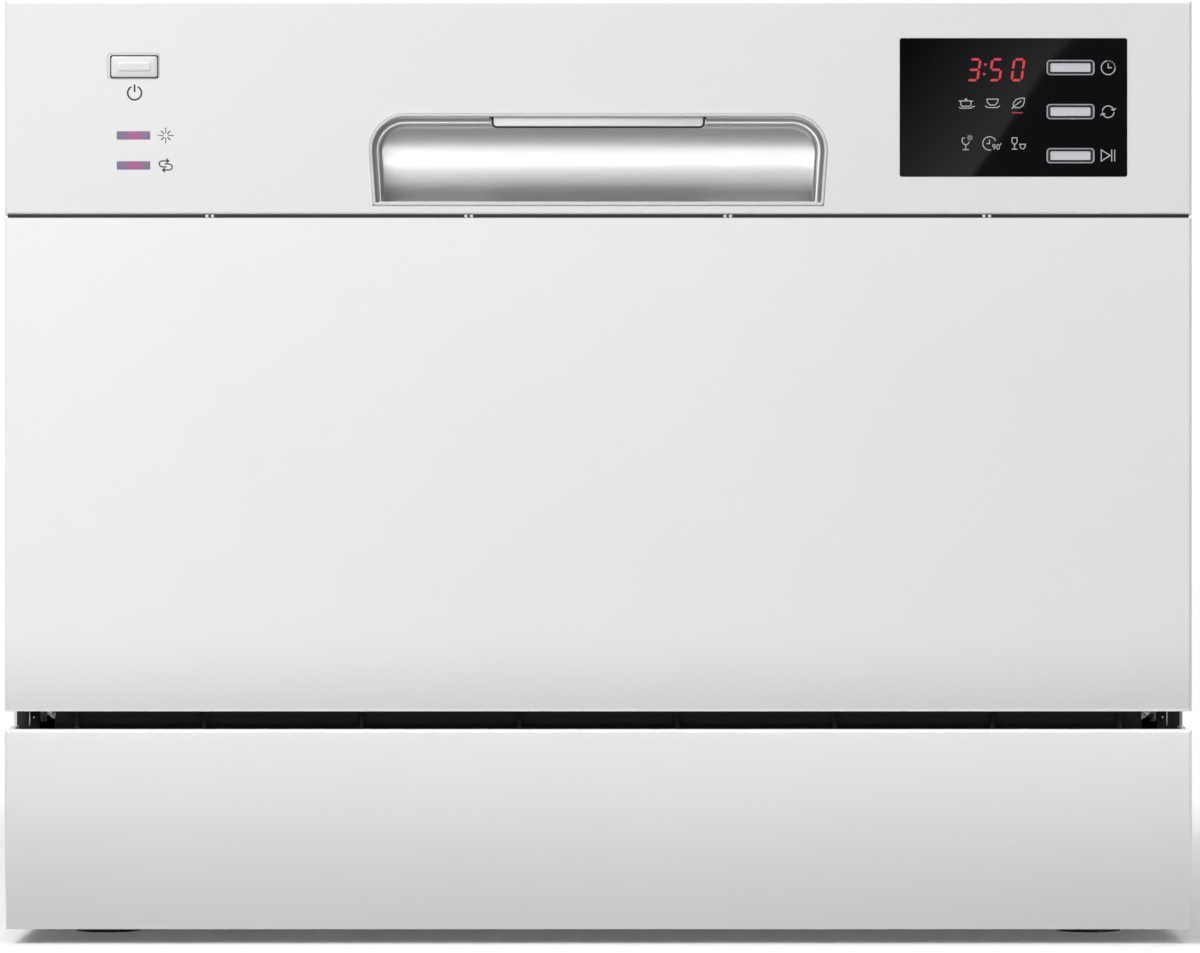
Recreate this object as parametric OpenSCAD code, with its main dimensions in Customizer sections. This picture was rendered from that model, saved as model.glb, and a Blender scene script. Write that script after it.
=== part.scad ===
// Countertop dishwasher: a steel cabinet on a plastic base, a door that drops open on two
// low hinges, and a wire rack that rolls out over the open door.
// Millimetres, +Z up. The origin lies on the worktop under the middle of the cabinet, and
// the door faces -Y.

/* [Overall size] */
// Width over the side panels
body_w = 550; // [540:1:580]
// Depth from the keys on the door to the rear edge
body_d = 500; // [490:1:540]
// Height from the worktop to the top plate
body_h = 438; // [434:1:460]
// Height of the feet under the base
foot_h = 7.2; // [5:0.1:12]

/* [Front] */
// Depth of the door from its keys to its steel liner
door_t = 52; // [50:0.5:56]
// Height of the control console
console_h = 99.2; // [94:0.1:110]
// Height of the kick panel
kick_h = 93.2; // [88:0.1:100]
// Gap between the door's lower edge and the kick panel
kick_gap = 8.4; // [7:0.1:10]
// Seam between the console and the door panel
seam = 1.1; // [0.6:0.1:2]
// Bevel round the front edges
bevel = 1.2; // [0.6:0.1:1.6]
// How far rims and keys stand out of the door's face
trim_stand = 0.8; // [0.6:0.1:1.2]
// Radius of the curve in the kick panel's lower part
kick_curve_r = 176; // [160:1:220]
// Height of the curved part of the kick panel
kick_curve_h = 60; // [50:1:64]
// Distance of the hinge axis behind the door's face
pivot_inset = 21; // [20:0.5:22]

/* [Handle] */
// Width over the handle cup's rim
handle_w = 212.4; // [180:0.1:240]
// Height over the handle cup's rim
handle_h = 42.7; // [40:0.1:46]
// Width of the rim at the cup's sides
handle_rim_side = 3.4; // [2.4:0.1:5]
// Width of the rim above and below the opening
handle_rim_top = 1.8; // [1.4:0.1:2.4]
// How far the cup's sides lean inwards at their lower end
handle_lean = 1.8; // [0:0.1:4]
// Radius of the opening's upper corners
handle_corner_r = 15; // [8:0.5:18]
// Radius of the hollow's curved back wall
hollow_r = 26; // [25:0.5:30]
// Width of the latch lever's finger plate
lever_w = 99; // [80:1:120]
// How far the finger plate hangs into the cup
lever_drop = 4.7; // [3:0.1:6]

/* [Controls] */
// Width of the display window
lens_w = 105.3; // [95:0.1:112]
// Height of the display window
lens_h = 64.1; // [60:0.1:70]
// Width of a key beside the display
key_w = 19.9; // [16:0.1:21]
// Height of a key beside the display
key_h = 4.4; // [3.6:0.1:5.2]
// Distance from key to key
key_pitch = 20.4; // [17:0.1:22]
// Width of the light ring round a key
key_ring = 0.85; // [0.6:0.05:1]
// Width of the power key
power_w = 22.8; // [18:0.1:26]
// Height of the power key
power_h = 10.9; // [9:0.1:13]
// Width of an indicator lamp
lamp_w = 15.3; // [10:0.1:18]
// Height of an indicator lamp
lamp_h = 3.6; // [2.5:0.1:5]
// Distance from lamp to lamp
lamp_pitch = 13.9; // [10:0.1:16]
// Travel of every key
key_travel = 1.2; // [0.8:0.1:1.4]

/* [Tub] */
// Space between the tub and the side panels
tub_side_gap = 31; // [30:0.5:35]
// Space between the tub and the top plate
tub_top_gap = 30; // [29:0.5:34]
// Space between the tub and the rear edge
tub_back_gap = 38; // [34:1:50]
// Radius of the tub's upper corners
tub_corner_r = 25; // [15:1:40]
// Drop from the side ledges to the tub's basin
basin_drop = 10; // [8:0.5:12]
// Thickness of the tub and liner sheet
sheet = 1; // [0.8:0.1:1.2]
// Height of the liner's raised field
field_h = 6; // [4:0.5:6.5]

/* [Walls] */
// Thickness of the painted outer sheet
skin = 1.2; // [1:0.1:1.4]
// Wall of the plastic mouldings
wall = 2.5; // [2:0.1:3]
// Radius of the casing's upper edges
casing_r = 4; // [3:0.5:8]

/* [Rack] */
// Space between the tub and the rack's side walls, to the wire's centre
rack_side_gap = 22; // [21:0.5:29]
// Height of the rack's walls
rack_h = 102; // [90:1:110]
// Depth of the rack, wire centre to wire centre
rack_d = 355; // [330:1:356]
// Distance from cross wire to cross wire
wire_pitch = 34; // [28:1:44]
// Half thickness of the cross wires
wire_r = 1.75; // [1.4:0.05:2]
// Height of the plate tines
tine_h = 60; // [50:1:66]
// Radius of the rack's wheels
wheel_r = 11; // [10:0.5:11.5]
// Width of the wheels
wheel_w = 8; // [6:0.5:9]

/* [Spray arm] */
// Reach of the spray arm from its axis
arm_reach = 192; // [170:1:196]
// Thickness of the spray arm's blades
arm_t = 8; // [6:0.5:9]

/* [Fits] */
// Play between parts that are fitted into one another
fit = 0.1; // [0.05:0.05:0.2]
// Radial play of a pin in its bore
pin_fit = 0.05; // [0.03:0.01:0.1]
// Gap between a moving part and its neighbour
run_gap = 0.6; // [0.4:0.1:1]

/* [Hidden] */

// Planes of the cabinet
side_x = body_w / 2;
front_y = -body_d / 2;
back_y = body_d / 2;
face_y = front_y + trim_stand;
door_back = front_y + door_t;
cabinet_y = door_back + 3;
casing_z0 = foot_h + 5;
far = 2 * body_w;

// Heights on the front
kick_top = foot_h + kick_h;
door_bottom = kick_top + kick_gap;
console_bottom = body_h - console_h;
panel_top = console_bottom - seam;

// Hinge axis, and the hollow that the door's lower edge swings through
pivot_y = face_y + pivot_inset;
pivot_z = kick_top + 1.6 + pivot_inset;
edge_reach = norm([pivot_inset, pivot_z - door_bottom]);
scoop_r = edge_reach + 0.9;
trough_r = scoop_r + 4.6;
pin_r = 4;
rib_pitch = 73.8;
tail_y = 18;
tail_z = -16;

// Hinge plates, from the door's arm outwards to the cabinet's frame
plate_t = 2.5;
arm_x = side_x - 16.5;
frame_x = side_x - 12;
liner_x = side_x - 13;
low_liner_x = side_x - 18;
return_z = pivot_z + 27;

// Tub
tub_w = body_w - 2 * tub_side_gap;
ledge_z = pivot_z + door_back - pivot_y + 1;
basin_z = ledge_z - basin_drop;
tub_top = body_h - tub_top_gap;
tub_back_y = back_y - tub_back_gap;
tub_x = tub_w / 2;
flange_y = cabinet_y + 6;
flange_w = 11;
tub_skirt = 5;
mouth_x = tub_x + 13;
basin_x = tub_x - 32;
basin_y0 = flange_y + 12;
basin_y1 = tub_back_y - 12;

// Door liner
field_y = door_back + field_h;
field_x = basin_x;
field_z0 = ledge_z + 12;
field_z1 = tub_top - 10;
liner_top = body_h - wall;

// Seal
seal_gap = 0.3;
seal_r = (flange_y - door_back - seal_gap) / 2;
seal_y = flange_y - seal_r;
seal_off = 6;

// Handle cup
cup_z0 = console_bottom + 4.3;
cup_z1 = cup_z0 + handle_h;
cup_open_top = cup_z1 - handle_rim_top;
cup_wall = 2;
hollow_y = face_y - 2;
hollow_z = cup_z0 + handle_rim_top + 21;
lever_y = face_y + 13.2;
lever_z = cup_z1 + 7.7;
lever_pin_r = 2;
lever_ear_t = 2.5;
lever_lip_y = lever_y - 7.5;

// Controls
lens_x = side_x - 30 - lens_w / 2;
lens_z = body_h - 17.4 - lens_h / 2;
key_x = lens_x + 26.4;
key_z = lens_z - 2;
ring_w = key_w + 2 * (key_ring + run_gap);
ring_h = key_h + 2 * (key_ring + run_gap);
power_x = -side_x + 59.7;
power_z = body_h - 30.3;
lamp_z = body_h - 62.4;
board_y = face_y + 13.2;
board_t = 1.6;
switch_y = board_y - 4.3;

// Latch: the hook turns on a pin in the door and reaches over a bar in the cabinet
hook_y = door_back - 16;
hook_z = body_h - 26;
hook_pin_r = 2.5;
hook_w = 8;
bar_z1 = body_h - 15;
bar_y = flange_y - 1.5;
nose_gap = 0.4;
hook_bar_z = bar_z1 + 2;
hook_bar_t = 3.2;

// Detergent dispenser
dish_x = 40;
dish_z = pivot_z + 139;
dish_w = 168;
dish_h = 90;
dish_flange_t = 3;
dish_y = field_y + dish_flange_t;
lid_w = 58;
lid_h = 66;
lid_t = 2.5;
lid_x = dish_x - 6;
lid_travel = 46;
catch_x = dish_x + 34;
catch_r = 6;
catch_travel = 2;
cap_x = dish_x + 61;
cap_r = 17;

// Rack
rack_x = tub_x - rack_side_gap;
rack_y0 = pivot_y + 65.2;
rack_y1 = rack_y0 + rack_d;
frame_r = 2;
rim_r = 2.5;
post_r = 1.5;
rack_z = ledge_z + 24 + frame_r;
rack_top = rack_z + rack_h;
rack_corner_r = 25;
cross_z = rack_z + frame_r + wire_r;
floor_top = cross_z + wire_r;
cross_y0 = rack_y0 + 28;
cross_n = floor((rack_y1 - 28 - cross_y0) / wire_pitch);
tine_rows = [-165, -95, 25, 95];
wheel_x = rack_x + 8.5;
wheel_z = ledge_z + 0.4 + wheel_r;
wheel_y0 = rack_y0 + 45;
wheel_y1 = rack_y1 - 55;
axle_r = 3;
shelf_pivot_z = rack_top - 20;
shelf_pivot_r = 1.75;
shelf_z = shelf_pivot_z - 7;
shelf_x1 = -rack_x + 97;
shelf_y0 = cross_y0 + 10;
shelf_d = 180;
basket_x0 = tine_rows[3] + 33;
basket_x1 = rack_x - 10;
basket_y0 = -60;
basket_d = 210;
basket_h = 92;

// Spray arm and filter
spray_y = 10;
arm_z = ledge_z + 7;
spigot_r = 10;
sump_x = 95;
sump_y = -62;
sump_z = 88;
filter_r = 32;
salt_x = -side_x + 135;
salt_y = -60;
salt_r = 30;

// Works in the base
base_top = foot_h + wall;
pump_x = 20;
pump_y = 90;
pump_z = 62;
shaft_r = 4;
rotor_r = 34;
heater_x = -25;

drain_y = 20;
port_z = 40;
valve_x = side_x - 75;
drain_x = valve_x - 50;
gland_x = -side_x + 75;
breaker_x = tub_x + sheet + 12;
rear_wall_y = back_y - 28;
base_wall_h = 53;
thread_r = 13.2;
spout_r = 10;
gland_r = 4;
screw_r = 3.4;

// ---------- shared shapes ----------

// A profile drawn in (y, z), extruded along X about x = 0
module extrude_x(w) rotate([90, 0, 90]) translate([0, 0, -w / 2]) linear_extrude(w) children();

// A profile drawn in (x, z), extruded from y = y0 to y = y1
module extrude_y(y0, y1) translate([0, y1, 0]) rotate([90, 0, 0]) linear_extrude(y1 - y0) children();

// A box from one corner to the other
module block(p, q) translate(p) cube(q - p);

// A cylinder along X or Y
module rod_x(x0, x1, y, z, r) translate([x0, y, z]) rotate([0, 90, 0]) cylinder(h = x1 - x0, r = r, $fn = 48);
module rod_y(x, y0, y1, z, r) translate([x, y1, z]) rotate([90, 0, 0]) cylinder(h = y1 - y0, r = r, $fn = 48);

// The same on the left and the right
module both_sides() {
    children();
    mirror([1, 0, 0]) children();
}

// A rectangle with round corners, about its centre
module round_rect(w, h, r) {
    square([w - 2 * r, h], center = true);
    square([w, h - 2 * r], center = true);
    for (sx = [-1, 1], sz = [-1, 1])
        translate([sx * (w / 2 - r), sz * (h / 2 - r)]) circle(r, $fn = 48);
}

// A slot shape with fully round ends
module stadium(w, h) {
    square([w - h, h], center = true);
    for (s = [-1, 1]) translate([s * (w - h) / 2, 0]) circle(h / 2, $fn = 48);
}

// A plate that stands on z0 with its two upper corners rounded
module arch(w, z0, z1, r) {
    translate([-w / 2, z0]) square([w, z1 - z0 - r]);
    translate([-w / 2 + r, z0]) square([w - 2 * r, z1 - z0]);
    for (s = [-1, 1]) translate([s * (w / 2 - r), z1 - r]) circle(r, $fn = 64);
}

// A solid front piece from z0 to z1 with its four front edges bevelled
module front_block(z0, z1, y1) intersection() {
    translate([0, 0, z0]) linear_extrude(z1 - z0) polygon([
        [-side_x + bevel, face_y], [side_x - bevel, face_y], [side_x, face_y + bevel],
        [side_x, y1], [-side_x, y1], [-side_x, face_y + bevel],
    ]);
    extrude_x(body_w + 2) polygon([
        [face_y + bevel, z0], [face_y, z0 + bevel], [face_y, z1 - bevel],
        [face_y + bevel, z1], [y1, z1], [y1, z0],
    ]);
}

// Welded wires are eight-sided, with a flat up, so that crossing wires meet flat on flat
module wire(len, r) rotate([0, 0, 22.5]) cylinder(h = len, r = r / cos(22.5), $fn = 8);
module wire_x(x0, x1, y, z, r) translate([x0, y, z]) rotate([0, 90, 0]) wire(x1 - x0, r);
module wire_y(x, y0, y1, z, r) translate([x, y1, z]) rotate([90, 0, 0]) wire(y1 - y0, r);
module wire_z(x, y, z0, z1, r) translate([x, y, z0]) wire(z1 - z0, r);

// A hose along points whose runs are square to one another, with quarter bends
module hose(points, r, bore, bend) {
    last = len(points) - 1;
    for (i = [0 : last - 1]) {
        dir = (points[i + 1] - points[i]) / norm(points[i + 1] - points[i]);
        start = points[i] + dir * (i == 0 ? 0 : bend);
        end = points[i + 1] - dir * (i == last - 1 ? 0 : bend);
        translate(start) hose_turn(dir) linear_extrude(norm(end - start)) hose_ring(r, bore);
        if (i < last - 1) {
            next = (points[i + 2] - points[i + 1]) / norm(points[i + 2] - points[i + 1]);
            u = -next;
            w = cross(u, dir);
            multmatrix([
                [u[0], dir[0], w[0], points[i + 1][0] - dir[0] * bend + next[0] * bend],
                [u[1], dir[1], w[1], points[i + 1][1] - dir[1] * bend + next[1] * bend],
                [u[2], dir[2], w[2], points[i + 1][2] - dir[2] * bend + next[2] * bend],
                [0, 0, 0, 1],
            ]) rotate_extrude(angle = 90, $fn = 48) translate([bend, 0]) hose_ring(r, bore);
        }
    }
}
module hose_ring(r, bore) difference() {
    circle(r, $fn = 32);
    circle(bore, $fn = 32);
}
module hose_turn(dir)
    rotate([0, acos(dir[2]), dir[0] == 0 && dir[1] == 0 ? 0 : atan2(dir[1], dir[0])]) children();

// ---------- cabinet ----------

module outer_casing() color("white") difference() {
    union() {
        extrude_y(cabinet_y, back_y) difference() {
            arch(body_w, casing_z0, body_h, casing_r);
            arch(body_w - 2 * skin, casing_z0 - 1, body_h - skin, casing_r - skin);
        }
        extrude_y(cabinet_y, cabinet_y + skin) difference() {
            arch(body_w - skin, casing_z0, body_h - skin / 2, casing_r - skin / 2);
            arch(2 * mouth_x, casing_z0 - 1, tub_top + 13, tub_corner_r + 12);
        }
    }
    // the latch hook passes here
    block([-11, cabinet_y - 1, tub_top + 10], [11, cabinet_y + skin + 1, body_h - 3.2]);
    // the hinge plates and springs pass here
    both_sides() block([arm_x - 8, cabinet_y - 1, pivot_z - 32], [frame_x + 4.5, cabinet_y + skin + 1, pivot_z + 14]);
}

// The rear sheet closes the casing above a shelf that leaves room for the connections
module rear_panel() color("gainsboro") {
    z0 = foot_h + base_wall_h;
    y1 = back_y - 2;
    x1 = side_x - skin - fit;
    difference() {
        union() {
            extrude_y(y1 - skin, y1) arch(2 * x1, z0, body_h - skin - fit, casing_r - skin);
            block([-x1, rear_wall_y, z0], [x1, y1, z0 + skin]);
            // stiffening field
            extrude_y(y1 - skin - 4, y1 - skin) translate([0, (z0 + body_h) / 2]) difference() {
                round_rect(body_w - 150, 220, 14);
                round_rect(body_w - 150 - 2 * skin, 220 - 2 * skin, 14 - skin);
            }
            extrude_y(y1 - skin - 4, y1 - 4) translate([0, (z0 + body_h) / 2]) round_rect(body_w - 150, 220, 14);
        }
        extrude_y(y1 - skin, y1 + 1) translate([0, (z0 + body_h) / 2])
            round_rect(body_w - 150 - 2 * skin, 220 - 2 * skin, 14 - skin);
        // vent slots
        for (i = [-4 : 4]) extrude_y(y1 - 2 * skin, y1 + 1)
            translate([i * 22, body_h - 26]) round_rect(12, 4, 1.9);
    }
}

module base_tray() color("dimgray") {
    wx = side_x - skin - fit;
    difference() {
        union() {
            // floor, with a ledge that the casing stands on
            block([-side_x, cabinet_y, foot_h], [side_x, rear_wall_y, casing_z0]);
            block([-wx, cabinet_y, foot_h], [wx, rear_wall_y, foot_h + base_wall_h]);
            block([-side_x, rear_wall_y - 1, foot_h], [side_x, back_y, casing_z0]);
        }
        block([-wx + wall, cabinet_y + wall, base_top], [wx - wall, rear_wall_y - wall, foot_h + base_wall_h + 1]);
        // the three connections pass the rear wall
        rod_y(valve_x, rear_wall_y - wall - 1, rear_wall_y + 1, port_z, thread_r + 1);
        rod_y(drain_x, rear_wall_y - wall - 1, rear_wall_y + 1, port_z, spout_r + fit);
        rod_y(gland_x, rear_wall_y - wall - 1, rear_wall_y + 1, port_z, gland_r + 4 + fit);
        block([-side_x - 1, rear_wall_y, base_top], [side_x + 1, back_y + 1, casing_z0 + 1]);
        // the casing's front fold stands here
        both_sides() block([mouth_x - fit, cabinet_y - 1, casing_z0], [side_x, cabinet_y + skin + fit, kick_top]);
    }
    // toe shelf and gussets behind the kick panel
    shelf_z0 = base_top + fit;
    block([-side_x + wall + 0.3, face_y + 14, shelf_z0], [side_x - wall - 0.3, cabinet_y + 1, casing_z0]);
    for (x = [-220, -75, 75, 220])
        block([x - 1.2, face_y + 14, shelf_z0], [x + 1.2, cabinet_y + 1, foot_h + base_wall_h - 20]);
}

// The stretch of a ring about the hinge axis that starts under the kick panel's flange and
// ends at the height z1
module trough_part(r1, r0, z1) difference() {
    translate([pivot_y, pivot_z]) circle(r1, $fn = 96);
    translate([pivot_y, pivot_z]) circle(r0, $fn = 96);
    translate([pivot_y - far, kick_top - wall]) square([far, far]);
    translate([pivot_y - 1, z1]) square([far, far]);
    translate([pivot_y - far, 0]) square([far - trough_r + 14, pivot_z]);
}

// The black trough behind the lower gap: the door's edge swings through it, past its ribs
module toe_guard() color("black") {
    x1 = low_liner_x - 2;
    back_z = ledge_z - 12;
    y1 = cabinet_y;
    extrude_x(2 * x1) difference() {
        union() {
            trough_part(trough_r + wall, trough_r, pivot_z);
            translate([y1 - wall, foot_h + base_wall_h - 20]) square([wall, back_z - foot_h - base_wall_h + 20]);
        }
        translate([pivot_y, pivot_z]) circle(trough_r, $fn = 96);
        translate([y1, 0]) square([60, 2 * pivot_z]);
    }
    for (i = [-3 : 3]) translate([i * rib_pitch, 0, 0]) extrude_x(2)
        trough_part(trough_r + 0.4, scoop_r, pivot_z - 5);
}

// Profile of the kick panel in (y, z): flat above, curving back below
module kick_outline(inset) {
    curve_z = foot_h + kick_curve_h;
    depth = cabinet_y - 1 - face_y;
    translate([face_y + inset, curve_z - 0.5]) square([depth, kick_h - kick_curve_h - inset + 0.5]);
    intersection() {
        translate([face_y + kick_curve_r, curve_z]) circle(kick_curve_r - inset, $fn = 128);
        translate([face_y + inset, foot_h + inset]) square([depth, kick_curve_h - inset]);
    }
}

module kick_panel() color("white") difference() {
    intersection() {
        extrude_x(body_w) difference() {
            intersection() {
                kick_outline(0);
                translate([face_y - 1, 0]) square([cabinet_y - face_y, kick_top + 1]);
            }
            polygon([
                [face_y - 1, kick_top - bevel - 1], [face_y - 1, kick_top + 1], [face_y + bevel + 1, kick_top + 1],
            ]);
        }
        translate([0, 0, foot_h - 1]) linear_extrude(kick_h + 2) polygon([
            [-side_x + bevel, face_y], [side_x - bevel, face_y], [side_x, face_y + bevel],
            [side_x, cabinet_y], [-side_x, cabinet_y], [-side_x, face_y + bevel],
        ]);
    }
    // hollow, open behind and above its top flange
    extrude_x(body_w - 2 * wall) {
        kick_outline(wall);
        translate([face_y + 12, foot_h + wall]) square([cabinet_y - face_y, kick_h]);
    }
    // the lower flange ends under the toe shelf
    extrude_x(body_w - 2 * wall) translate([face_y + 26, 0]) square([cabinet_y - face_y, foot_h + wall + 1]);
    // room for the door's swing
    extrude_x(body_w + 2) translate([pivot_y, pivot_z]) circle(scoop_r, $fn = 96);
}

// Round feet, turned with a narrow neck
module feet() color("dimgray")
    for (x = [-side_x + 40, side_x - 40], y = [front_y + 118, back_y - 52]) translate([x, y, 0])
        rotate_extrude($fn = 48) polygon([
            [0, 0], [15, 0], [16, 1], [16, foot_h * 0.45], [13, foot_h * 0.6], [13, foot_h], [0, foot_h],
        ]);

// Two pressed frames: they stand on the base, carry the tub and hold the hinge pins
module side_frames() color("silver") both_sides() {
    y0 = cabinet_y + skin + run_gap;
    y1 = tub_back_y - 92;
    z1 = ledge_z - tub_skirt + 2;
    extrude_x_at(frame_x, plate_t) difference() {
        union() {
            translate([y0, base_top]) square([y1 - y0, z1 - base_top]);
            // ear that reaches forward to the hinge axis
            translate([pivot_y, pivot_z - 9]) square([y0 - pivot_y + 1, 18]);
            translate([pivot_y, pivot_z]) circle(9, $fn = 48);
        }
        for (y = [y0 + 60, y0 + 180])
            translate([y + 30, (base_top + z1) / 2 - 6]) round_rect(84, 70, 12);
        // the door spring's hook comes through here
        translate([y0 - 1, 0]) square([6, pivot_z - 30]);
    }
    block([tub_x + sheet, flange_y + sheet, z1 - plate_t], [frame_x + 0.5, y1, z1]);
    block([frame_x - 14, y0 + 8, base_top], [frame_x + 0.5, y1, base_top + plate_t]);
    // hinge pin with its head
    rod_x(arm_x - 0.4, frame_x + 0.5, pivot_y, pivot_z, pin_r);
    rod_x(arm_x - 2, arm_x - 0.3, pivot_y, pivot_z, pin_r + 2);
}

// A profile in (y, z), extruded outwards from x = x0
module extrude_x_at(x0, w) translate([x0 + w / 2, 0, 0]) extrude_x(w) children();

// Extension springs that balance the door, with their rods forward to the hinge arms
module door_springs() color("gray") both_sides() {
    x = arm_x - 1.7;
    z = pivot_z + tail_z;
    rod_y(x, pivot_y + tail_y - 2, cabinet_y + 23, z, 1);
    rod_x(x - 1.4, arm_x + plate_t, pivot_y + tail_y, z, 1.2);
    translate([x, cabinet_y + 22, z]) rotate([-90, 0, 0]) rotate_extrude($fn = 32) polygon(concat(
        [[0, 0]], [for (i = [0 : 40]) [i % 2 == 0 ? 4.2 : 5.7, i * 2.5]], [[0, 100]]));
    rod_y(x, cabinet_y + 121, cabinet_y + 140, z, 1);
    block([x - 3, cabinet_y + 139, z - 5], [frame_x, cabinet_y + 142, z + 5]);
}

module tub_wrap() color("silver") {
    z0 = ledge_z - tub_skirt;
    extrude_y(flange_y, tub_back_y) difference() {
        arch(tub_w + 2 * sheet, z0, tub_top + sheet, tub_corner_r + sheet);
        arch(tub_w, z0 - 1, tub_top, tub_corner_r);
    }
    extrude_y(flange_y, flange_y + sheet) difference() {
        arch(tub_w + 2 * flange_w, z0, tub_top + flange_w, tub_corner_r + flange_w);
        arch(tub_w + sheet, z0 - 1, tub_top + sheet / 2, tub_corner_r + sheet / 2);
    }
}

module tub_back() color("silver") {
    mid_z = (ledge_z + tub_top) / 2;
    difference() {
        union() {
            extrude_y(tub_back_y, tub_back_y + sheet)
                arch(tub_w + 12, ledge_z - tub_skirt, tub_top + 6, tub_corner_r + 6);
            extrude_y(tub_back_y - 4, tub_back_y + sheet / 2)
                translate([0, mid_z + 10]) round_rect(tub_w - 110, 170, 25);
        }
        extrude_y(tub_back_y - 4 + sheet, tub_back_y + 2 * sheet)
            translate([0, mid_z + 10]) round_rect(tub_w - 110 - 2 * sheet, 170 - 2 * sheet, 25 - sheet);
    }
}

module tub_floor() color("silver") difference() {
    union() {
        // ledges that the wheels run on
        block([-tub_x, flange_y, ledge_z - sheet], [tub_x, tub_back_y, ledge_z]);
        block([-tub_x, flange_y, ledge_z - 14], [tub_x, flange_y + sheet, ledge_z]);
        basin(0, basin_z - sheet, ledge_z - sheet / 2);
    }
    basin(sheet, basin_z, ledge_z + 1);
    translate([sump_x, sump_y, basin_z - 5]) cylinder(h = 10, r = filter_r + 12, $fn = 64);
    translate([salt_x, salt_y, basin_z - 5]) cylinder(h = 10, r = salt_r + 4 + fit, $fn = 64);
    translate([0, spray_y, basin_z - 5]) cylinder(h = 10, r = spigot_r + 4 + fit, $fn = 64);
}

module basin(inset, z0, z1) translate([0, (basin_y0 + basin_y1) / 2, z0]) linear_extrude(z1 - z0)
    round_rect(2 * (basin_x - inset), basin_y1 - basin_y0 - 2 * inset, 20 - inset);

// Bulb with a flat foot, drawn with its foot towards +Y
module seal_profile() {
    circle(seal_r, $fn = 40);
    translate([-4, seal_r - 1.5]) square([8, 1.5]);
}

module door_seal() color("dimgray") {
    bend = tub_corner_r + seal_off;
    z0 = ledge_z - tub_skirt + 1;
    z1 = tub_top + seal_off - bend;
    both_sides() {
        translate([tub_x + seal_off, seal_y, z0]) linear_extrude(z1 - z0) seal_profile();
        translate([tub_x + seal_off - bend, seal_y, z1]) mirror([0, 0, 1]) rotate([-90, 0, 0])
            rotate_extrude(angle = 90, $fn = 96) translate([bend, 0]) seal_profile();
    }
    top_x = tub_x + seal_off - bend;
    translate([-top_x, seal_y, tub_top + seal_off]) rotate([0, 90, 0]) linear_extrude(2 * top_x) seal_profile();
}

module sill_seal() color("dimgray") extrude_x(2 * (tub_x + 3)) polygon([
    [flange_y, ledge_z - 13], [flange_y, ledge_z - 5.2], [flange_y - 5, ledge_z - 5.2],
    [door_back + seal_gap, ledge_z - 7.5], [door_back + seal_gap, ledge_z - 9],
    [flange_y - 5.6, ledge_z - 7], [flange_y - 4, ledge_z - 13],
]);

module strike_plate() color("silver") {
    y0 = cabinet_y + skin;
    difference() {
        block([-24, y0, tub_top + flange_w + 0.6], [24, y0 + 1.5, body_h - skin]);
        block([-11, y0 - 1, tub_top], [11, y0 + 3, body_h - 3.2]);
    }
    both_sides() block([13, y0, bar_z1 - 2.6], [15, bar_y + 3, bar_z1]);
    block([-14, bar_y, bar_z1 - 2.6], [14, bar_y + 3, bar_z1]);
}

// ---------- works under the tub ----------

module sump() color("gray") difference() {
    union() {
        translate([sump_x, sump_y, 0]) rotate_extrude($fn = 64) polygon([
            [0, sump_z], [filter_r + 6, sump_z], [filter_r + 14, sump_z + 12], [filter_r + 14, basin_z - 5],
            [filter_r + 22, basin_z - 5], [filter_r + 22, basin_z - sheet], [filter_r + 11.5, basin_z - sheet],
            [filter_r + 11.5, sump_z + 13], [filter_r + 5, sump_z + wall], [0, sump_z + wall],
        ]);
        rod_x(sump_x - 60, sump_x - filter_r - 12, sump_y, 105, 12);
        rod_y(sump_x, sump_y + filter_r + 12, sump_y + 60, 105, 9);
        // two legs to the base
        for (s = [-1, 1]) block([sump_x + s * 34 - 3, sump_y - 4, base_top], [sump_x + s * 34 + 3, sump_y + 4, sump_z + 1]);
    }
    rod_x(sump_x - 61, sump_x - filter_r, sump_y, 105, 9.5);
    rod_y(sump_x, sump_y + filter_r, sump_y + 61, 105, 6.5);
}

module softener() color("whitesmoke") difference() {
    union() {
        translate([salt_x, salt_y + 30, base_top]) linear_extrude(basin_z - 22 - base_top) round_rect(150, 150, 16);
        translate([salt_x, salt_y, basin_z - 23]) cylinder(h = 26, r = salt_r + 4, $fn = 64);
    }
    translate([salt_x, salt_y, basin_z - 60]) cylinder(h = 70, r = salt_r - 3, $fn = 64);
    translate([salt_x, salt_y, basin_z - 2]) cylinder(h = 20, r = salt_r + fit, $fn = 64);
}

module salt_cap() color("steelblue") translate([salt_x, salt_y, 0]) {
    translate([0, 0, basin_z - 2 + fit]) cylinder(h = 6, r = salt_r - pin_fit, $fn = 64);
    translate([0, 0, basin_z + 4]) cylinder(h = 1.6, r = salt_r - 4, $fn = 64);
    block([-salt_r + 6, -3, basin_z + 5], [salt_r - 6, 3, basin_z + 10]);
    translate([0, 0, basin_z - 25]) cylinder(h = 24, r = salt_r - 8, $fn = 48);
}

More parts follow.
